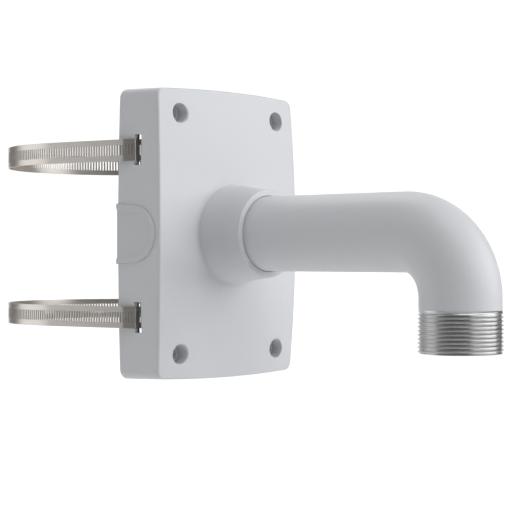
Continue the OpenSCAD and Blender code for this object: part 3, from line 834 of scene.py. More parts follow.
    def additions(self) -> list[bpy.types.Object]:
        """Corner bosses, their webs, floor ribs and the ground boss.

        Returns:
            Closed solids that lap into the skin.
        """
        parts = []
        half_x, half_z = self.hole_dx / 2, self.hole_dz / 2
        for sx in (-1, 1):
            for sz in (-1, 1):
                x, z = sx * half_x, sz * half_z
                r, edge = self.boss_r, self.boss_edge
                parts.append(self.post(x, z, [
                    (r - edge, -self.boss_end), (r, edge - self.boss_end),
                    (r + 0.4, -self.boss_flare_at), (r + 0.6, 0.2)]))
                side = self.half_w - self.wall / 2
                end = self.half_h - self.wall / 2
                parts.append(self.bar((x, z), (sx * side, z), -self.web_end, self.web_lap))
                parts.append(self.bar((x, z), (x, sz * end), -self.web_end, self.web_lap))
                u = np.array([x, z]) / math.hypot(x, z)
                parts.append(self.bar(tuple(u * (self.seat_r - 1)), (x, z), -self.seat_depth,
                                      self.rib_lap))
        r, edge, rear = self.ground_boss_r, self.bore_edge, -self.ground_boss_end
        parts.append(self.post(self.ground_x, self.ground_z,
                               [(r - edge, rear), (r, rear + edge), (r + 0.4, 1)]))
        return parts

    def counterbore(self, x: float, z: float) -> list[bpy.types.Object]:
        """The two cutters of a corner hole: the through hole and the rounded counterbore.

        Args:
            x: The hole's place across.
            z: Its place up.

        Returns:
            The two cutters.
        """
        r, soft = self.cbore_r, self.cbore_edge
        face = float(self.crown(np.array(x), np.array(z)))
        lip = [(r + soft * (1 - math.cos(b)), face - soft * (1 - math.sin(b)))
               for b in np.radians(np.linspace(0, 90, 5))]
        wide = self.post(x, z, [(r, -self.cbore_depth), *lip,
                                (r + soft, self.crown_h + self.past)])
        through = self.post(x, z, [(self.hole_r, -self.layout.box_depth - self.past),
                                   (self.hole_r, self.crown_h)])
        return [wide, through]

    def strap_slot(self, sx: int, sz: int) -> bpy.types.Object:
        """A strap slot's cutter: a square window whose rear lip slopes outwards.

        Args:
            sx: Its side, as the sign of x.
            sz: Its level, as the sign of z.

        Returns:
            The cutter.
        """
        half = (self.layout.strap_w + self.slot_room) / 2
        inside, outside = self.half_w - self.wall - self.past, self.rear_half + self.past
        front, lip = self.slot_w - self.slot_lip, -self.slot_lip
        slope_at = self.rear_half - self.wall + self.slot_ramp_in
        outline = np.array([[inside, front], [inside, lip], [slope_at, lip],
                            [outside, lip - self.slot_ramp], [outside, front]])
        z0 = sz * self.layout.strap_spacing / 2
        points, faces = prism(outline, z0 - half, z0 + half)
        points = points[:, [0, 2, 1]]
        points[:, 0] *= sx
        return self.in_row("slot", points, faces)

    def entry_outline(self, g: float, rear: float, steps: int = 32) -> Array:
        """U outline of a cable entry on the wall: depth behind the rim's corners, and up.

        A round end of radius r + g, with sides that flare away tangentially.

        Args:
            g: How far the outline is moved out.
            rear: Depth at which the sides end.
            steps: Stretches of the round end.

        Returns:
            Points from the lower rear corner round the front to the upper rear corner.
        """
        r = self.entry_r + g
        cx = self.entry_setback + self.entry_r
        flare = self.entry_flare
        round_end = arc((cx, 0), r, 270 - flare, 90 + flare, steps)
        tan = math.tan(math.radians(flare))
        reach = round_end[-1, 1] + (rear - round_end[-1, 0]) * tan
        return np.vstack([[[rear, -reach]], round_end, [[rear, reach]]])

    def on_wall(self, points: Array, side: Side) -> Array:
        """Moves (depth, up, out of the wall) to the plate's frame, along the drafted wall.

        Args:
            points: Points on the wall, n by 3.
            side: The long side of the wall.

        Returns:
            The same points in the plate's frame.
        """
        d = math.radians(self.draft)
        start = self.rear_half - self.grow
        x = start + points[..., 0] * math.sin(d) + points[..., 2] * math.cos(d)
        out = -points[..., 0] * math.cos(d) + points[..., 2] * math.sin(d)
        return np.stack([side.value * x, points[..., 1], out], -1)

    def entry_cut(self, side: Side) -> bpy.types.Object:
        """The cutter of a cable entry.

        Args:
            side: The long side that it opens.

        Returns:
            The cutter.
        """
        outline = self.entry_outline(-self.entry_lap, self.layout.box_depth + self.past)
        points, faces = prism(outline, -self.wall - self.past, self.past)
        return self.in_row("entry", self.on_wall(points, side), faces)

    def saddle_cut(self, sz: int) -> bpy.types.Object:
        """The cutter of the V saddle in one end wall, with a small radius at its root.

        Args:
            sz: The end wall, as the sign of z.

        Returns:
            The cutter.
        """
        slope = self.layout.saddle_slope
        depth = self.layout.box_depth
        root = self.layout.saddle_depth - depth
        reach = (self.layout.saddle_depth + self.past) / math.tan(math.radians(slope))
        r = self.saddle_root_r
        middle = root - r / math.cos(math.radians(slope))
        tip = arc((0, middle), r, 90 - slope, 90 + slope, 6)
        behind = -depth - self.past
        outline = np.vstack([[[-reach, behind], [reach, behind]], tip])
        points, faces = prism(outline, self.half_h - self.wall - self.past,
                              self.half_h + self.grow + self.end_bow + self.past)
        points = points[:, [0, 2, 1]]
        points[:, 1] *= sz
        return self.in_row("saddle", points, faces)

    def build(self) -> bpy.types.Object:
        """Makes the casting.

        Returns:
            The piece, which stands for the node housing.
        """
        piece = self.skin()
        combine(piece, self.additions(), Join.ADD)
        cuts = []
        for sx in (-1, 1):
            for sz in (-1, 1):
                cuts += self.counterbore(sx * self.hole_dx / 2, sz * self.hole_dz / 2)
                cuts.append(self.strap_slot(sx, sz))
        cuts += [self.entry_cut(side) for side in Side]
        cuts += [self.saddle_cut(sz) for sz in (-1, 1)]
        ground = self.ground_hole_r
        cuts.append(self.post(self.ground_x, self.ground_z,
                              [(ground, -self.ground_boss_end - self.past), (ground, 0)]))
        combine(piece, cuts, Join.CUT)
        smooth_shade(piece.data)
        piece.name = "cast_housing"
        return piece


@dataclass(frozen=True)
class CoatedCasting:
    """The housing's finish: powder coat outside, and the bare blasted casting inside.

    The inside was masked when the coat was sprayed and is bare aluminium. Its grey is kept
    much darker than bare aluminium as painted shade, so that the slots look dark from outside.
    """

    housing: Housing
    name: str = "coated_casting"
    paint: PowderCoat = PowderCoat()
    # partly the bare casting's colour and partly painted shade: a dark grey that darkens the slots
    metal: str = "8f9194"
    metal_roughness: float = 0.55
    grain_mm: float = 0.25
    grain_depth_mm: float = 0.02
    relief: float = 0.5
    tones: tuple[float, float] = (0.85, 1.1)
    inner_x_mm: float = 60.6
    inner_z_mm: float = 89.7
    corner_sum_mm: float = 146.6
    hole_room_mm: float = 1.05
    skin_mm: float = 2.0

    def inside(self, tree: bpy.types.NodeTree,
               place: bpy.types.NodeSocket) -> bpy.types.NodeSocket:
        """Makes the mask that parts the coated surfaces from the bare ones.

        Inside is where |x|, |z| and their sum are under the middle of the walls, y is behind
        the crowned face by more than the skin, and the nearest counterbore is clear.

        Args:
            tree: The material's nodes.
            place: The object coordinates.

        Returns:
            A socket that is 1 on the inside and 0 on the coated surfaces.
        """
        def math_node(operation: str,
                      *values: float | bpy.types.NodeSocket) -> bpy.types.NodeSocket:
            """Adds one step of arithmetic on numbers and sockets."""
            fixed = {k: v for k, v in enumerate(values) if isinstance(v, float)}
            linked = {k: v for k, v in enumerate(values) if not isinstance(v, float)}
            return add_node(tree, "Math", fixed, linked, operation=operation).outputs[0]

        split = add_node(tree, "SeparateXYZ", None, {"Vector": place})
        x = math_node("ABSOLUTE", split.outputs["X"])
        z = math_node("ABSOLUTE", split.outputs["Z"])
        parts = [math_node("LESS_THAN", x, self.inner_x_mm * MM),
                 math_node("LESS_THAN", z, self.inner_z_mm * MM),
                 math_node("LESS_THAN", math_node("ADD", x, z), self.corner_sum_mm * MM)]
        body = self.housing
        crown = body.crown_h * MM
        fall = []
        for axis, share, half in ((x, body.crown_share, body.half_w),
                                  (z, 1 - body.crown_share, body.half_h)):
            part = math_node("DIVIDE", axis, half * MM)
            fall.append(math_node("MULTIPLY", math_node("MULTIPLY", part, part), share * crown))
        face = math_node("ADD", math_node("ADD", fall[0], fall[1]),
                         (body.layout.rim_y + self.skin_mm) * MM - crown)
        parts.append(math_node("GREATER_THAN", split.outputs["Y"], face))
        off = [math_node("SUBTRACT", axis, middle * MM)
               for axis, middle in ((x, body.hole_dx / 2), (z, body.hole_dz / 2))]
        square = [math_node("MULTIPLY", v, v) for v in off]
        away = math_node("ADD", *square)
        clear = (body.cbore_r + self.hole_room_mm) * MM
        parts.append(math_node("GREATER_THAN", away, clear ** 2))
        result = parts[0]
        for part in parts[1:]:
            result = math_node("MULTIPLY", result, part)
        return result

    def material(self) -> bpy.types.Material:
        """Returns the finished material: the paint's own nodes, mixed with bare metal inside."""
        material = self.paint.material()
        material.name = self.name
        tree = material.node_tree
        place = add_node(tree, "TexCoord").outputs["Object"]
        grain = add_node(tree, "TexNoise", {"Scale": 1 / (self.grain_mm * MM), "Detail": 3.0},
                         {"Vector": place})
        tone = add_node(tree, "ValToRGB", None, {"Fac": grain.outputs["Fac"]})
        set_tones(tone, self.metal, self.tones)
        bump = add_node(tree, "Bump",
                        {"Strength": self.relief, "Distance": self.grain_depth_mm * MM},
                        {"Height": grain.outputs["Fac"]})
        bare = add_node(tree, "BsdfPrincipled",
                        {"Metallic": 1.0, "Roughness": self.metal_roughness},
                        {"Base Color": tone.outputs["Color"], "Normal": bump.outputs["Normal"]})
        # the dark bare metal inside is partly painted shade, for the dark slots
        mix = add_node(tree, "MixShader", None,
                       {0: self.inside(tree, place),
                        1: tree.nodes["Principled BSDF"].outputs[0], 2: bare.outputs[0]})
        tree.links.new(mix.outputs[0], tree.nodes["Material Output"].inputs["Surface"])
        return material


@dataclass
class ArmTube:
    """The bent pipe: level stretch, quarter bend and threaded drop, as one swept surface."""

    layout: Layout
    bore_r: float = 20.0
    reach: float = 184.0
    bend_r: float = 38.0
    drop: float = 68.9
    rear: float = -11.0
    thread_len: float = 24.6
    thread_r: float = 24.4
    pitch: float = 2.3
    thread_depth: float = 1.4
    crest: float = 0.08
    crest_power: float = 1.4
    first_crest: float = 0.26
    fade_turns: float = 0.7
    plain: float = 0.8
    chamfer_len: float = 1.6
    chamfer_slope: float = 0.6
    steps: int = 144

    def path(self, s: Array) -> tuple[Array, Array, Array]:
        """Points of the pipe's axis and its upward normal at distances along it.

        Level from the rear end, then a quarter circle of bend_r, then straight down.

        Args:
            s: Distances from the rear end, in millimetres.

        Returns:
            Depth along the arm, height, and the angle that the axis has turned.
        """
        level = self.reach - self.bend_r - self.rear
        turn = np.clip((s - level) / self.bend_r, 0, math.pi / 2)
        past = np.clip(s - level - self.bend_r * math.pi / 2, 0, None)
        out = self.rear + np.minimum(s, level) + self.bend_r * np.sin(turn)
        up = -self.bend_r * (1 - np.cos(turn)) - past
        return out, up, turn

    @property
    def length(self) -> float:
        """Length of the axis from the rear end to the thread's end."""
        return (self.reach - self.bend_r - self.rear + self.bend_r * math.pi / 2
                + self.drop - self.bend_r)

    def thread(self, s: Array, t: Array) -> Array:
        """Radius of the outside at distance s and angle t.

        Before the thread it is the tube's radius. On it, u runs from 0 on a crest to 1 in the
        middle of a groove, where the phase is the distance over the pitch plus the angle over
        a full turn. The height above the groove is (1 - u) to crest_power, which gives narrow
        crests and wide round grooves. The first turn fades in and the last ends in a chamfer.

        Args:
            s: Distances along the axis.
            t: Angles round it.

        Returns:
            The radius for each pair.
        """
        d = s - (self.length - self.thread_len)
        phase = (d / self.pitch + t / TAU - self.first_crest) % 1.0
        u = np.clip(np.abs(phase - 0.5) * 2, self.crest, 1)
        height = ((1 - u) / (1 - self.crest)) ** self.crest_power
        lead = np.clip((d - self.plain) / (self.fade_turns * self.pitch), 0, 1)
        groove = self.thread_r - self.thread_depth
        threaded = groove + self.thread_depth * height
        mixed = self.layout.tube_r + (threaded - self.layout.tube_r) * lead
        chamfer = np.clip((d - self.thread_len + self.chamfer_len) * self.chamfer_slope, 0, None)
        return np.where(d < 0, self.layout.tube_r,
                        np.minimum(mixed, self.thread_r - chamfer))

    def surface(self, s: Array, a: Array, radius: Array) -> Array:
        """Points in the plate's frame at distance s, angle a and a radius."""
        out, up, turn = self.path(s)
        across, rise = radius * np.sin(a), radius * np.cos(a)
        return np.stack([across, up + rise * np.cos(turn), out + rise * np.sin(turn)], -1)

    def build(self) -> bpy.types.Object:
        """Makes the pipe.

        The outside and the bore are one grid that closes on itself over both end faces. The
        thread's normals come from the surface's own slopes, as the crests are much finer than
        the grid.

        Returns:
            The piece, which stands for the node arm_tube.
        """
        start = self.length - self.thread_len
        level = self.reach - self.bend_r - self.rear
        drop = level + self.bend_r * math.pi / 2
        bent = np.concatenate([np.linspace(0, level, 40), np.linspace(level, drop, 49)[1:]])
        smooth = np.concatenate([bent, np.linspace(drop, start + self.plain, 6)[1:]])
        fine = np.linspace(start + self.plain, self.length, 260)[1:]
        stations = np.concatenate([smooth, fine])
        t = np.arange(self.steps) * TAU / self.steps
        s, a = np.meshgrid(stations, t, indexing="ij")
        outer = self.surface(s, a, self.thread(s, a))
        back = np.concatenate([np.linspace(self.length, drop, 8), bent[::-1][1:]])
        si, ai = np.meshgrid(back, t, indexing="ij")
        inner = self.surface(si, ai, np.full(si.shape, self.bore_r))
        points = np.concatenate([outer, inner])
        rows = points.shape[0]
        faces = grid_faces(rows, self.steps, True, True)[:, ::-1]
        piece = mesh_object("bent_arm_pipe", self.layout.to_row(points).reshape(-1, 3), faces,
                            sharp_deg=40)
        h = 1e-3
        along = (self.surface(s + h, a, self.thread(s + h, a))
                 - self.surface(s - h, a, self.thread(s - h, a)))
        round_ = (self.surface(s, a + h, self.thread(s, a + h))
                  - self.surface(s, a - h, self.thread(s, a - h)))
        normal = np.cross(self.layout.turn_to_row(along), self.layout.turn_to_row(round_))
        normal /= np.linalg.norm(normal, axis=-1, keepdims=True)
        outwards = self.layout.turn_to_row(outer - self.surface(s, a, np.zeros(s.shape)))
        normal *= np.sign((normal * outwards).sum(-1, keepdims=True))
        first, last = len(smooth), len(stations) - 1
        corner = np.zeros((faces.size, 3))
        row = np.repeat(faces[:, 3] // self.steps, 4)
        exact = (row >= first) & (row < last)
        corner[exact] = normal.reshape(-1, 3)[faces.ravel()[exact]]
        piece.data.normals_split_custom_set(corner.tolist())
        return piece


@dataclass
class EntryCover:
    """A moulded cable entry cover: raised U border round a sunk panel, and a plug behind it."""

    housing: Housing
    rise: float = 1.2
    edge: float = 0.6
    border: float = 2.9
    slope: float = 1.7
    sink: float = 0.8
    sheet: float = 2.0
    plug: float = 2.0
    grip: float = 0.8
    gap: float = 0.1
    loose: float = 0.3
    hold: tuple[float, float] = (0.15, 0.2)

    @property
    def rear(self) -> float:
        """Depth of the cover's rear end, a little past the housing's rear edge."""
        return self.housing.layout.box_depth + self.loose

    def height(self, d: float) -> float:
        """Height of the front above the wall.

        A quarter-round edge, a flat border, then a slope that starts at a crisp ridge and
        flattens out as a parabola where it meets the sunk panel.

        Args:
            d: Distance from the outline.

        Returns:
            The height at that distance.
        """
        edge = min(d / self.edge, 1.0)
        rounded = self.rise - self.edge * (1 - math.sqrt(1 - (1 - edge) ** 2))
        s = min(max((d - self.border) / self.slope, 0.0), 1.0)
        return rounded - self.sink * (1 - (1 - s) ** 2)

    def front(self, side: Side) -> bpy.types.Object:
        """The border and the panel: rings that follow the outline, closed by three flat faces.

        Args:
            side: The long side that it closes.

        Returns:
            The front as a closed solid.
        """
        rim = self.housing.entry_outline(0, self.rear, 48)
        legs = np.linspace(0, 1, 9)[:-1, None]
        lower = rim[0] + (rim[1] - rim[0]) * legs
        upper = rim[-2] + (rim[-1] - rim[-2]) * (1 - legs[::-1])
        rim = np.vstack([lower, rim[1:-1], upper])
        centre = self.housing.entry_setback + self.housing.entry_r
        spine = np.stack([np.clip(rim[:, 0], centre, None), np.zeros(len(rim))], 1)
        span = np.linalg.norm(spine - rim, axis=1)
        steps = np.concatenate([
            np.linspace(0, self.edge, 7), [self.edge + self.hold[0], self.border - self.hold[1]],
            self.border + np.linspace(0, self.slope, 12)])
        n = len(rim)
        rows = [np.column_stack([rim, np.full(n, self.gap)])]
        for step in steps.tolist():
            p = rim + (spine - rim) * (step / span)[:, None]
            rows.append(np.column_stack([p, np.full(n, self.height(step))]))
        points = self.housing.on_wall(np.array(rows), side)
        first = np.arange(len(rows)) * n
        panel = np.arange(n) + first[-1]
        rear = np.concatenate([first, (first + n - 1)[::-1]])
        faces = grid_faces(len(rows), n, False, False).tolist()
        faces += [np.arange(n)[::-1].tolist(), panel.tolist(), rear.tolist()]
        return self.housing.in_row("cover", points.reshape(-1, 3), faces)

    def block(self, side: Side, g: float, rear: float, low: float,
              high: float) -> bpy.types.Object:
        """A block over the entry's outline moved out by g, between two heights on the wall.

        Args:
            side: The long side.
            g: How far the outline is moved out.
            rear: Depth at which the block ends.
            low: Height of its inner end.
            high: Height of its outer end.

        Returns:
            The block.
        """
        points, faces = prism(self.housing.entry_outline(g, rear), low, high)
        return self.housing.in_row("block", self.housing.on_wall(points, side), faces)

    def build(self, side: Side) -> bpy.types.Object:
        """Makes the cover of one side.

        The plug fills the cut-out, its lip grips behind the wall, and the back is hollow.

        Args:
            side: The long side that it closes.

        Returns:
            The piece.
        """
        end = -self.housing.wall - self.plug
        plug = -self.housing.entry_lap - self.gap
        lip = plug + self.gap + self.grip
        body = self.block(side, plug, self.rear, end, 2 * self.gap)
        catch = self.block(side, lip, self.rear, end, end + self.plug - self.gap)
        piece = self.front(side)
        combine(piece, [body, catch], Join.ADD)
        hollow = self.block(side, plug - self.sheet, self.rear - self.sheet,
                            end - self.housing.past, self.rise - self.sink - self.sheet)
        combine(piece, [hollow], Join.CUT)
        smooth_shade(piece.data)
        piece.name = "cable_entry_cover_" + side.name.lower()
        return piece


@dataclass
class StrapBand:
    """A perforated steel band: a loop behind the plate, through the housing and its clamp."""

    layout: Layout
    lead: float = 10.4
    bend_depth: float = 7.7
    cross_depth: float = 18.2
    fold_r: float = 0.9
    fold_x: float = 63.62
    pitch: float = 2.06
    slot_w: float = 1.0
    slot_h: float = 6.4
    clamp_angle: float = 25.0
    clamp_len: float = 15.0
    clamp_rise: float = 2.4
    sheet: float = 0.8
    slip: float = 0.05
    tail_len: float = 22.0
    fixed_share: float = 0.8
    tail_share: float = 0.93
    ramp_deg: float = 6.0
    tail_ramp_deg: float = 4.0
    end_plain: float = 2.0
    fixed_plain: float = 1.5
    fold_plain: float = 1.7

    def levels(self) -> dict[str, float]:
        """Middle radii of the band's layers at the clamp.

        Returns:
            The radius of each layer by its name.
        """
        half = self.layout.strap_t / 2
        seat = self.layout.pole_r
        band1 = seat + self.slip + self.sheet + self.slip
        band2 = band1 + self.layout.strap_t + 2 * self.slip
        tail = seat + self.layout.strap_t + 2 * self.slip
        return {"seat": seat + half, "band1": band1 + half, "band2": band2 + half,
                "tail": tail + half}

    def centre_line(self) -> tuple[Array, dict[str, float]]:
        """The band's middle line seen from above, from the tail's tip to the fixed end.

        Arcs about the loop's axis, joined by smooth steps between layers, and straight
        stretches with small fold radii through the housing.

        Returns:
            Points in order, and the distances along it of the fold and clamp marks.
        """
        level = self.levels()
        outer = self.layout.pole_r + self.clamp_rise
        half = math.degrees(self.clamp_len / 2 / outer)
        fixed_end = self.clamp_angle + half * self.fixed_share
        fixed_step = self.clamp_angle - half - 1
        over_step = self.clamp_angle + half + 1.5
        tail_step = self.clamp_angle - half * self.tail_share
        tail_end = self.clamp_angle - half - math.degrees(self.tail_len / level["tail"])

        def sweep(r0: float, r1: float, a0: float, a1: float) -> Array:
            """An arc from angle a0 to a1 whose radius goes smoothly from r0 to r1."""
            t = np.linspace(0, 1, max(int(abs(a1 - a0) * 4), 8))
            r = r0 + (r1 - r0) * t * t * (3 - 2 * t)
            a = np.radians(a0 + (a1 - a0) * t)
            return np.stack([r * np.cos(a), r * np.sin(a)], 1)

        tail_foot = tail_step - self.tail_ramp_deg
        over_foot = over_step + self.ramp_deg
        fixed_foot = fixed_step - self.ramp_deg
        left = [sweep(level["tail"], level["tail"], tail_end, tail_foot),
                sweep(level["tail"], level["band2"], tail_foot, tail_step),
                sweep(level["band2"], level["band2"], tail_step, over_step),
                sweep(level["band2"], level["seat"], over_step, over_foot),
                sweep(level["seat"], level["seat"], over_foot, 180 + self.lead)]
        right = [sweep(level["seat"], level["seat"], -self.lead, fixed_foot),
                 sweep(level["seat"], level["band1"], fixed_foot, fixed_step),
                 sweep(level["band1"], level["band1"], fixed_step, fixed_end)]
        lead = math.radians(self.lead)
        leave = level["seat"] * np.array([math.cos(lead), -math.sin(lead)])
        bend_y = self.layout.rear_y - self.bend_depth
        bend = np.array([leave[0] - (leave[1] - bend_y) * math.tan(lead), bend_y])
        cross_y = self.layout.rim_y + self.cross_depth
        turn = math.degrees(math.atan2(bend[0] - self.fold_x, bend[1] - cross_y))
        fold = arc((self.fold_x - self.fold_r, cross_y + self.fold_r), self.fold_r, -turn, -90, 12)
        run = np.vstack([leave + (bend - leave) * np.linspace(0, 1, 20)[1:, None], fold])
        cross = np.stack([np.linspace(-fold[-1, 0], fold[-1, 0], 60)[1:-1],
                          np.full(58, cross_y)], 1)
        points = np.vstack([*left, run * [-1, 1], cross, run[::-1], *right])
        gap = np.linalg.norm(np.diff(points, axis=0), axis=1)
        points = points[np.r_[True, gap > 1e-6]]
        s = np.r_[0, np.cumsum(np.linalg.norm(np.diff(points, axis=0), axis=1))]

        def mark(p: Array) -> float:
            """The distance along the line of its point nearest to p."""
            return float(s[np.argmin(np.linalg.norm(points - p, axis=1))])

        a = math.radians(self.clamp_angle)
        marks = {"worm": mark(level["band2"] * np.array([math.cos(a), math.sin(a)])),
                 "fold_left": mark(fold[6] * [-1, 1]), "fold_right": mark(fold[6]),
                 "fixed": mark(right[1][0])}
        return np.column_stack([points, s]), marks

    def build(self, level: Level) -> bpy.types.Object:
        """Makes one band.

        The surface is the centre line moved by half the thickness along its normal, on a grid
        whose columns fall on the edges of the perforations and whose rows on their ends.

        Args:
            level: Which strap it is.

        Returns:
            The piece.
        """
        line, marks = self.centre_line()
        s = line[:, 2]
        first = (marks["worm"] % self.pitch) - self.pitch
        centres = np.arange(first, s[-1], self.pitch)
        open_ = (centres > self.end_plain) & (centres < marks["fixed"] - self.fixed_plain)
        for fold in ("fold_left", "fold_right"):
            open_ &= np.abs(centres - marks[fold]) > self.fold_plain
        centres = centres[open_]
        slots = np.stack([centres - self.slot_w / 2, centres + self.slot_w / 2], 1)
        folds = np.concatenate([marks[f] + np.linspace(-1.1, 1.1, 15)
                                for f in ("fold_left", "fold_right")])
        plain = np.arange(marks["fixed"], s[-1], 1.0)
        stations = np.unique(np.round(np.concatenate([[0, s[-1]], slots.ravel(), folds, plain]), 5))
        keep = np.r_[True, np.diff(stations) > 0.02]
        stations = stations[keep]
        x, y = (np.interp(stations, s, line[:, k]) for k in (0, 1))
        tx, ty = (np.gradient(np.interp(stations, s, line[:, k]), stations) for k in (0, 1))
        size = np.hypot(tx, ty)
        nx, ny = ty / size, -tx / size
        middle = (stations[1:] + stations[:-1]) / 2
        nearest = np.abs(middle[:, None] - centres[None, :]).min(1)
        holed = nearest < self.slot_w / 2 - 1e-4
        half_w, half_t = self.layout.strap_w / 2, self.layout.strap_t / 2
        rows = np.array([-half_w, -self.slot_h / 2, self.slot_h / 2, half_w])
        n, m = len(stations), len(rows)
        z0 = level.value * self.layout.strap_spacing / 2
        layers = []
        for side in (1, -1):
            px = np.repeat((x + side * half_t * nx)[:, None], m, 1)
            py = np.repeat((y + side * half_t * ny)[:, None], m, 1)
            pz = np.repeat((rows + z0)[None, :], n, 0)
            layers.append(np.stack([px, py, pz], 2).reshape(-1, 3))
        points = np.vstack(layers)
        uv = np.tile(np.stack([np.repeat(stations, m), np.tile(rows, n)], 1), (2, 1))
        j, k = (a.ravel() for a in np.meshgrid(np.arange(n - 1), np.arange(m - 1), indexing="ij"))
        solid = ~(holed[j] & (k == 1))
        j, k = j[solid], k[solid]
        a, b, c, d = j * m + k, (j + 1) * m + k, (j + 1) * m + k + 1, j * m + k + 1
        low = n * m
        top = np.stack([a, b, c, d], 1)
        under = np.stack([a, d, c, b], 1) + low
        # a wall along each edge of a face that no other face shares
        edges = np.vstack([top[:, [0, 1]], top[:, [1, 2]], top[:, [2, 3]], top[:, [3, 0]]])
        code = np.sort(edges, 1) @ np.array([n * m, 1])
        values, counts = np.unique(code, return_counts=True)
        border = edges[np.isin(code, values[counts == 1])]
        walls = np.stack([border[:, 1], border[:, 0], border[:, 0] + low, border[:, 1] + low], 1)
        faces = np.vstack([top, under, walls])
        return mesh_object("perforated_strap_" + level.name.lower(), points, faces, uv, 50)


@dataclass
class Studio:
    """Camera at the photograph's angle in a soft-lit studio with a seamless floor and backdrop.

    The backdrop glows white. The strongest softboxes stand to the right, in front and above,
    and weak ones light the left side from behind, so the side walls and the pipe's near side,
    which face the dim room, fall off to grey.
    """

    place_mm: tuple[float, float, float] = (-718.1, -802.47, -13.96)
    heading_deg: float = 46.672
    lens_mm: float = 109.62
    sensor_mm: float = 36.0
    floor_mm: float = -520.0
    floor_near_mm: float = -2200.0
    cove_mm: float = 500.0
    backdrop_mm: float = 2600.0
    backdrop_top_mm: float = 1900.0
    backdrop_half_mm: float = 1500.0
    glow_from_mm: float = 1700.0
    glow_full_mm: float = 2050.0
    glow: float = 0.5
    room: float = 0.13
    softboxes: tuple[tuple[str, tuple[float, float, float], float, float], ...] = (
        # name, place from the object's middle in metres, side in metres, watts
        ("key", (1.4, -1.6, 0.8), 1.8, 26.5),
        ("front", (0.0, -2.2, 1.0), 1.6, 15.0),
        ("top", (-0.3, -0.8, 2.2), 1.6, 16.5),
        ("rear", (0.6, 1.2, 2.0), 1.2, 12.0),
        ("left_rear", (-1.3, 1.75, 0.2), 1.8, 10.5),
        ("left_high", (-1.7, 0.9, 1.7), 1.2, 4.0),
    )
    centre: Vector = field(default_factory=lambda: Vector((0.03, -0.17, 0)))

    @property
    def ahead(self) -> Vector:
        """The camera's level direction: (sin h, cos h)."""
        h = math.radians(self.heading_deg)
        return Vector((math.sin(h), math.cos(h), 0))

    def camera(self) -> None:
        """Makes the level camera."""
        data = bpy.data.cameras.new("camera")
        data.lens = self.lens_mm
        data.sensor_width = self.sensor_mm
        data.clip_end = 50
        camera = bpy.data.objects.new("camera", data)
        bpy.context.collection.objects.link(camera)
        camera.location = Vector(self.place_mm) * MM
        camera.rotation_euler = (math.pi / 2, 0, -math.radians(self.heading_deg))
        bpy.context.scene.camera = camera

    def cyclorama(self) -> None:
        """Makes the pale floor, which curves up behind the object into a backdrop."""
        bend = arc((self.backdrop_mm - self.cove_mm, self.floor_mm + self.cove_mm),
                   self.cove_mm, -90, 0, 24)
        side = np.vstack([[[self.floor_near_mm, self.floor_mm]], bend,
                          [[self.backdrop_mm, self.backdrop_top_mm]]])
        ahead = np.array(self.ahead)
        across = np.array([ahead[1], -ahead[0], 0.0]) * self.backdrop_half_mm
        spine = side[:, :1] * ahead + side[:, 1:] * [0, 0, 1]
        points = np.stack([spine - across, spine + across], 1).reshape(-1, 3)
        sweep = mesh_object("cyclorama", points, grid_faces(len(side), 2, False, False))
        material, tree, shader = new_material("white_cyclorama")
        shader.inputs["Base Color"].default_value = to_linear("f2f2f2")
        shader.inputs["Roughness"].default_value = 0.9
        shader.inputs["Emission Color"].default_value = (1, 1, 1, 1)
        place = add_node(tree, "TexCoord").outputs["Object"]
        away = add_node(tree, "VectorMath", {1: tuple(self.ahead)}, {0: place},
                        operation="DOT_PRODUCT")
        glow = add_node(tree, "MapRange", {"From Min": self.glow_from_mm * MM,
                                           "From Max": self.glow_full_mm * MM,
                                           "To Max": self.glow},
                        {"Value": away.outputs["Value"]}, interpolation_type="SMOOTHSTEP")
        tree.links.new(glow.outputs["Result"], shader.inputs["Emission Strength"])
        sweep.data.materials.append(material)

    def lamp(self, name: str, away: tuple[float, float, float], size: float,
             power: float) -> None:
        """Makes a square soft light that faces the object.

        Args:
            name: Its name.
            away: Its place from the object's middle, in metres.
            size: Its side in metres.
            power: Its power in watts.
        """
        data = bpy.data.lights.new(name, "AREA")
        data.size = size
        data.energy = power
        lamp = bpy.data.objects.new(name, data)
        bpy.context.collection.objects.link(lamp)
        lamp.location = self.centre + Vector(away)
        lamp.rotation_mode = "QUATERNION"
        lamp.rotation_quaternion = (-Vector(away)).to_track_quat("-Z", "Y")

    def build(self) -> None:
        """Makes the whole studio."""
        bpy.context.scene.view_settings.view_transform = "Standard"
        self.camera()
        self.cyclorama()
        world = bpy.data.worlds.new("room")
        world.use_nodes = True
        room = world.node_tree.nodes["Background"]
        room.inputs["Color"].default_value = (0.97, 0.98, 1, 1)
        room.inputs["Strength"].default_value = self.room
        bpy.context.scene.world = world
        for name, away, size, power in self.softboxes:
            self.lamp(name, away, size, power)


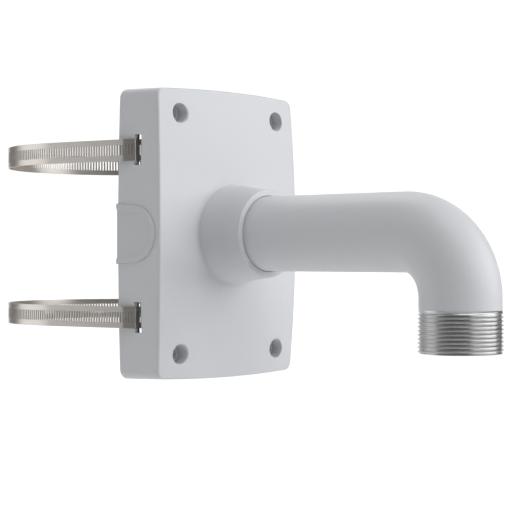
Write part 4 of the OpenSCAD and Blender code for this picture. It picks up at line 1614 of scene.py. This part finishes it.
def dress(piece: bpy.types.Object, material: bpy.types.Material,
          node: str) -> None:
    """Gives a new piece its only material and puts it on the bracket in a node's place.

    Args:
        piece: The new piece.
        material: Its finish.
        node: The CAD node that it stands for.
    """
    piece.data.materials.clear()
    piece.data.materials.append(material)
    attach(piece, "bracket")
    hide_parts(node)
    LOG.info("%s: %s, %d faces, for the node %s", piece.name, material.name,
             len(piece.data.polygons), node)


def node_finishes() -> dict[str, bpy.types.Material]:
    """Makes the finishes of the CAD nodes that are kept as they are.

    Returns:
        The node's name, up to its side where it has one, and its material.
    """
    rubber = Rubber().material()
    screw = PlatedMetal("stainless_screw", "c9c9c8", 0.26).material()
    pressed = RolledSteel(name="pressed_stainless", run=LineRun.UPWARDS).material()
    return {
        "arm_flange": PlatedMetal("zinc_plated_steel", "c3c6c9", 0.34).material(),
        "flange_gasket": rubber,
        "arm_seal_ring": rubber,
        "flange_screws": screw,
        "flange_washers": screw,
        "ground_screw": PlatedMetal("turned_brass", "cfa75a", 0.3).material(),
        "ground_washer": screw,
        "clamp_housing": pressed,
        "clamp_saddle": pressed,
        "worm_screw": PlatedMetal("plated_worm_screw", "bcbcbc", 0.3).material(),
    }


def main() -> None:
    """Builds the studio and every sub-assembly."""
    logging.basicConfig(level=logging.INFO, format="%(message)s")
    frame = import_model()
    Studio().build()
    layout = Layout()
    housing = Housing(layout)
    dress(housing.build(), CoatedCasting(housing).material(), "housing")
    dress(ArmTube(layout).build(), PaintedPipe().material(), "arm_tube")
    strap_steel = RolledSteel().material()
    for level in Level:
        band = StrapBand(layout).build(level)
        dress(band, strap_steel, "strap_" + level.name.lower())
    plastic = PowderCoat(name="moulded_asa", colour="d6d8da", roughness=0.5,
                         peel_depth_mm=0.006).material()
    for side in Side:
        cover = EntryCover(housing).build(side)
        dress(cover, plastic, "entry_cover_" + side.name.lower())

    finishes = node_finishes()
    for name, node in frame["nodes"].items():
        for start, material in finishes.items():
            if name.startswith(start):
                node.data.materials.clear()
                node.data.materials.append(material)
                LOG.info("%s: %s", name, material.name)


if __name__ == "__main__":
    main()
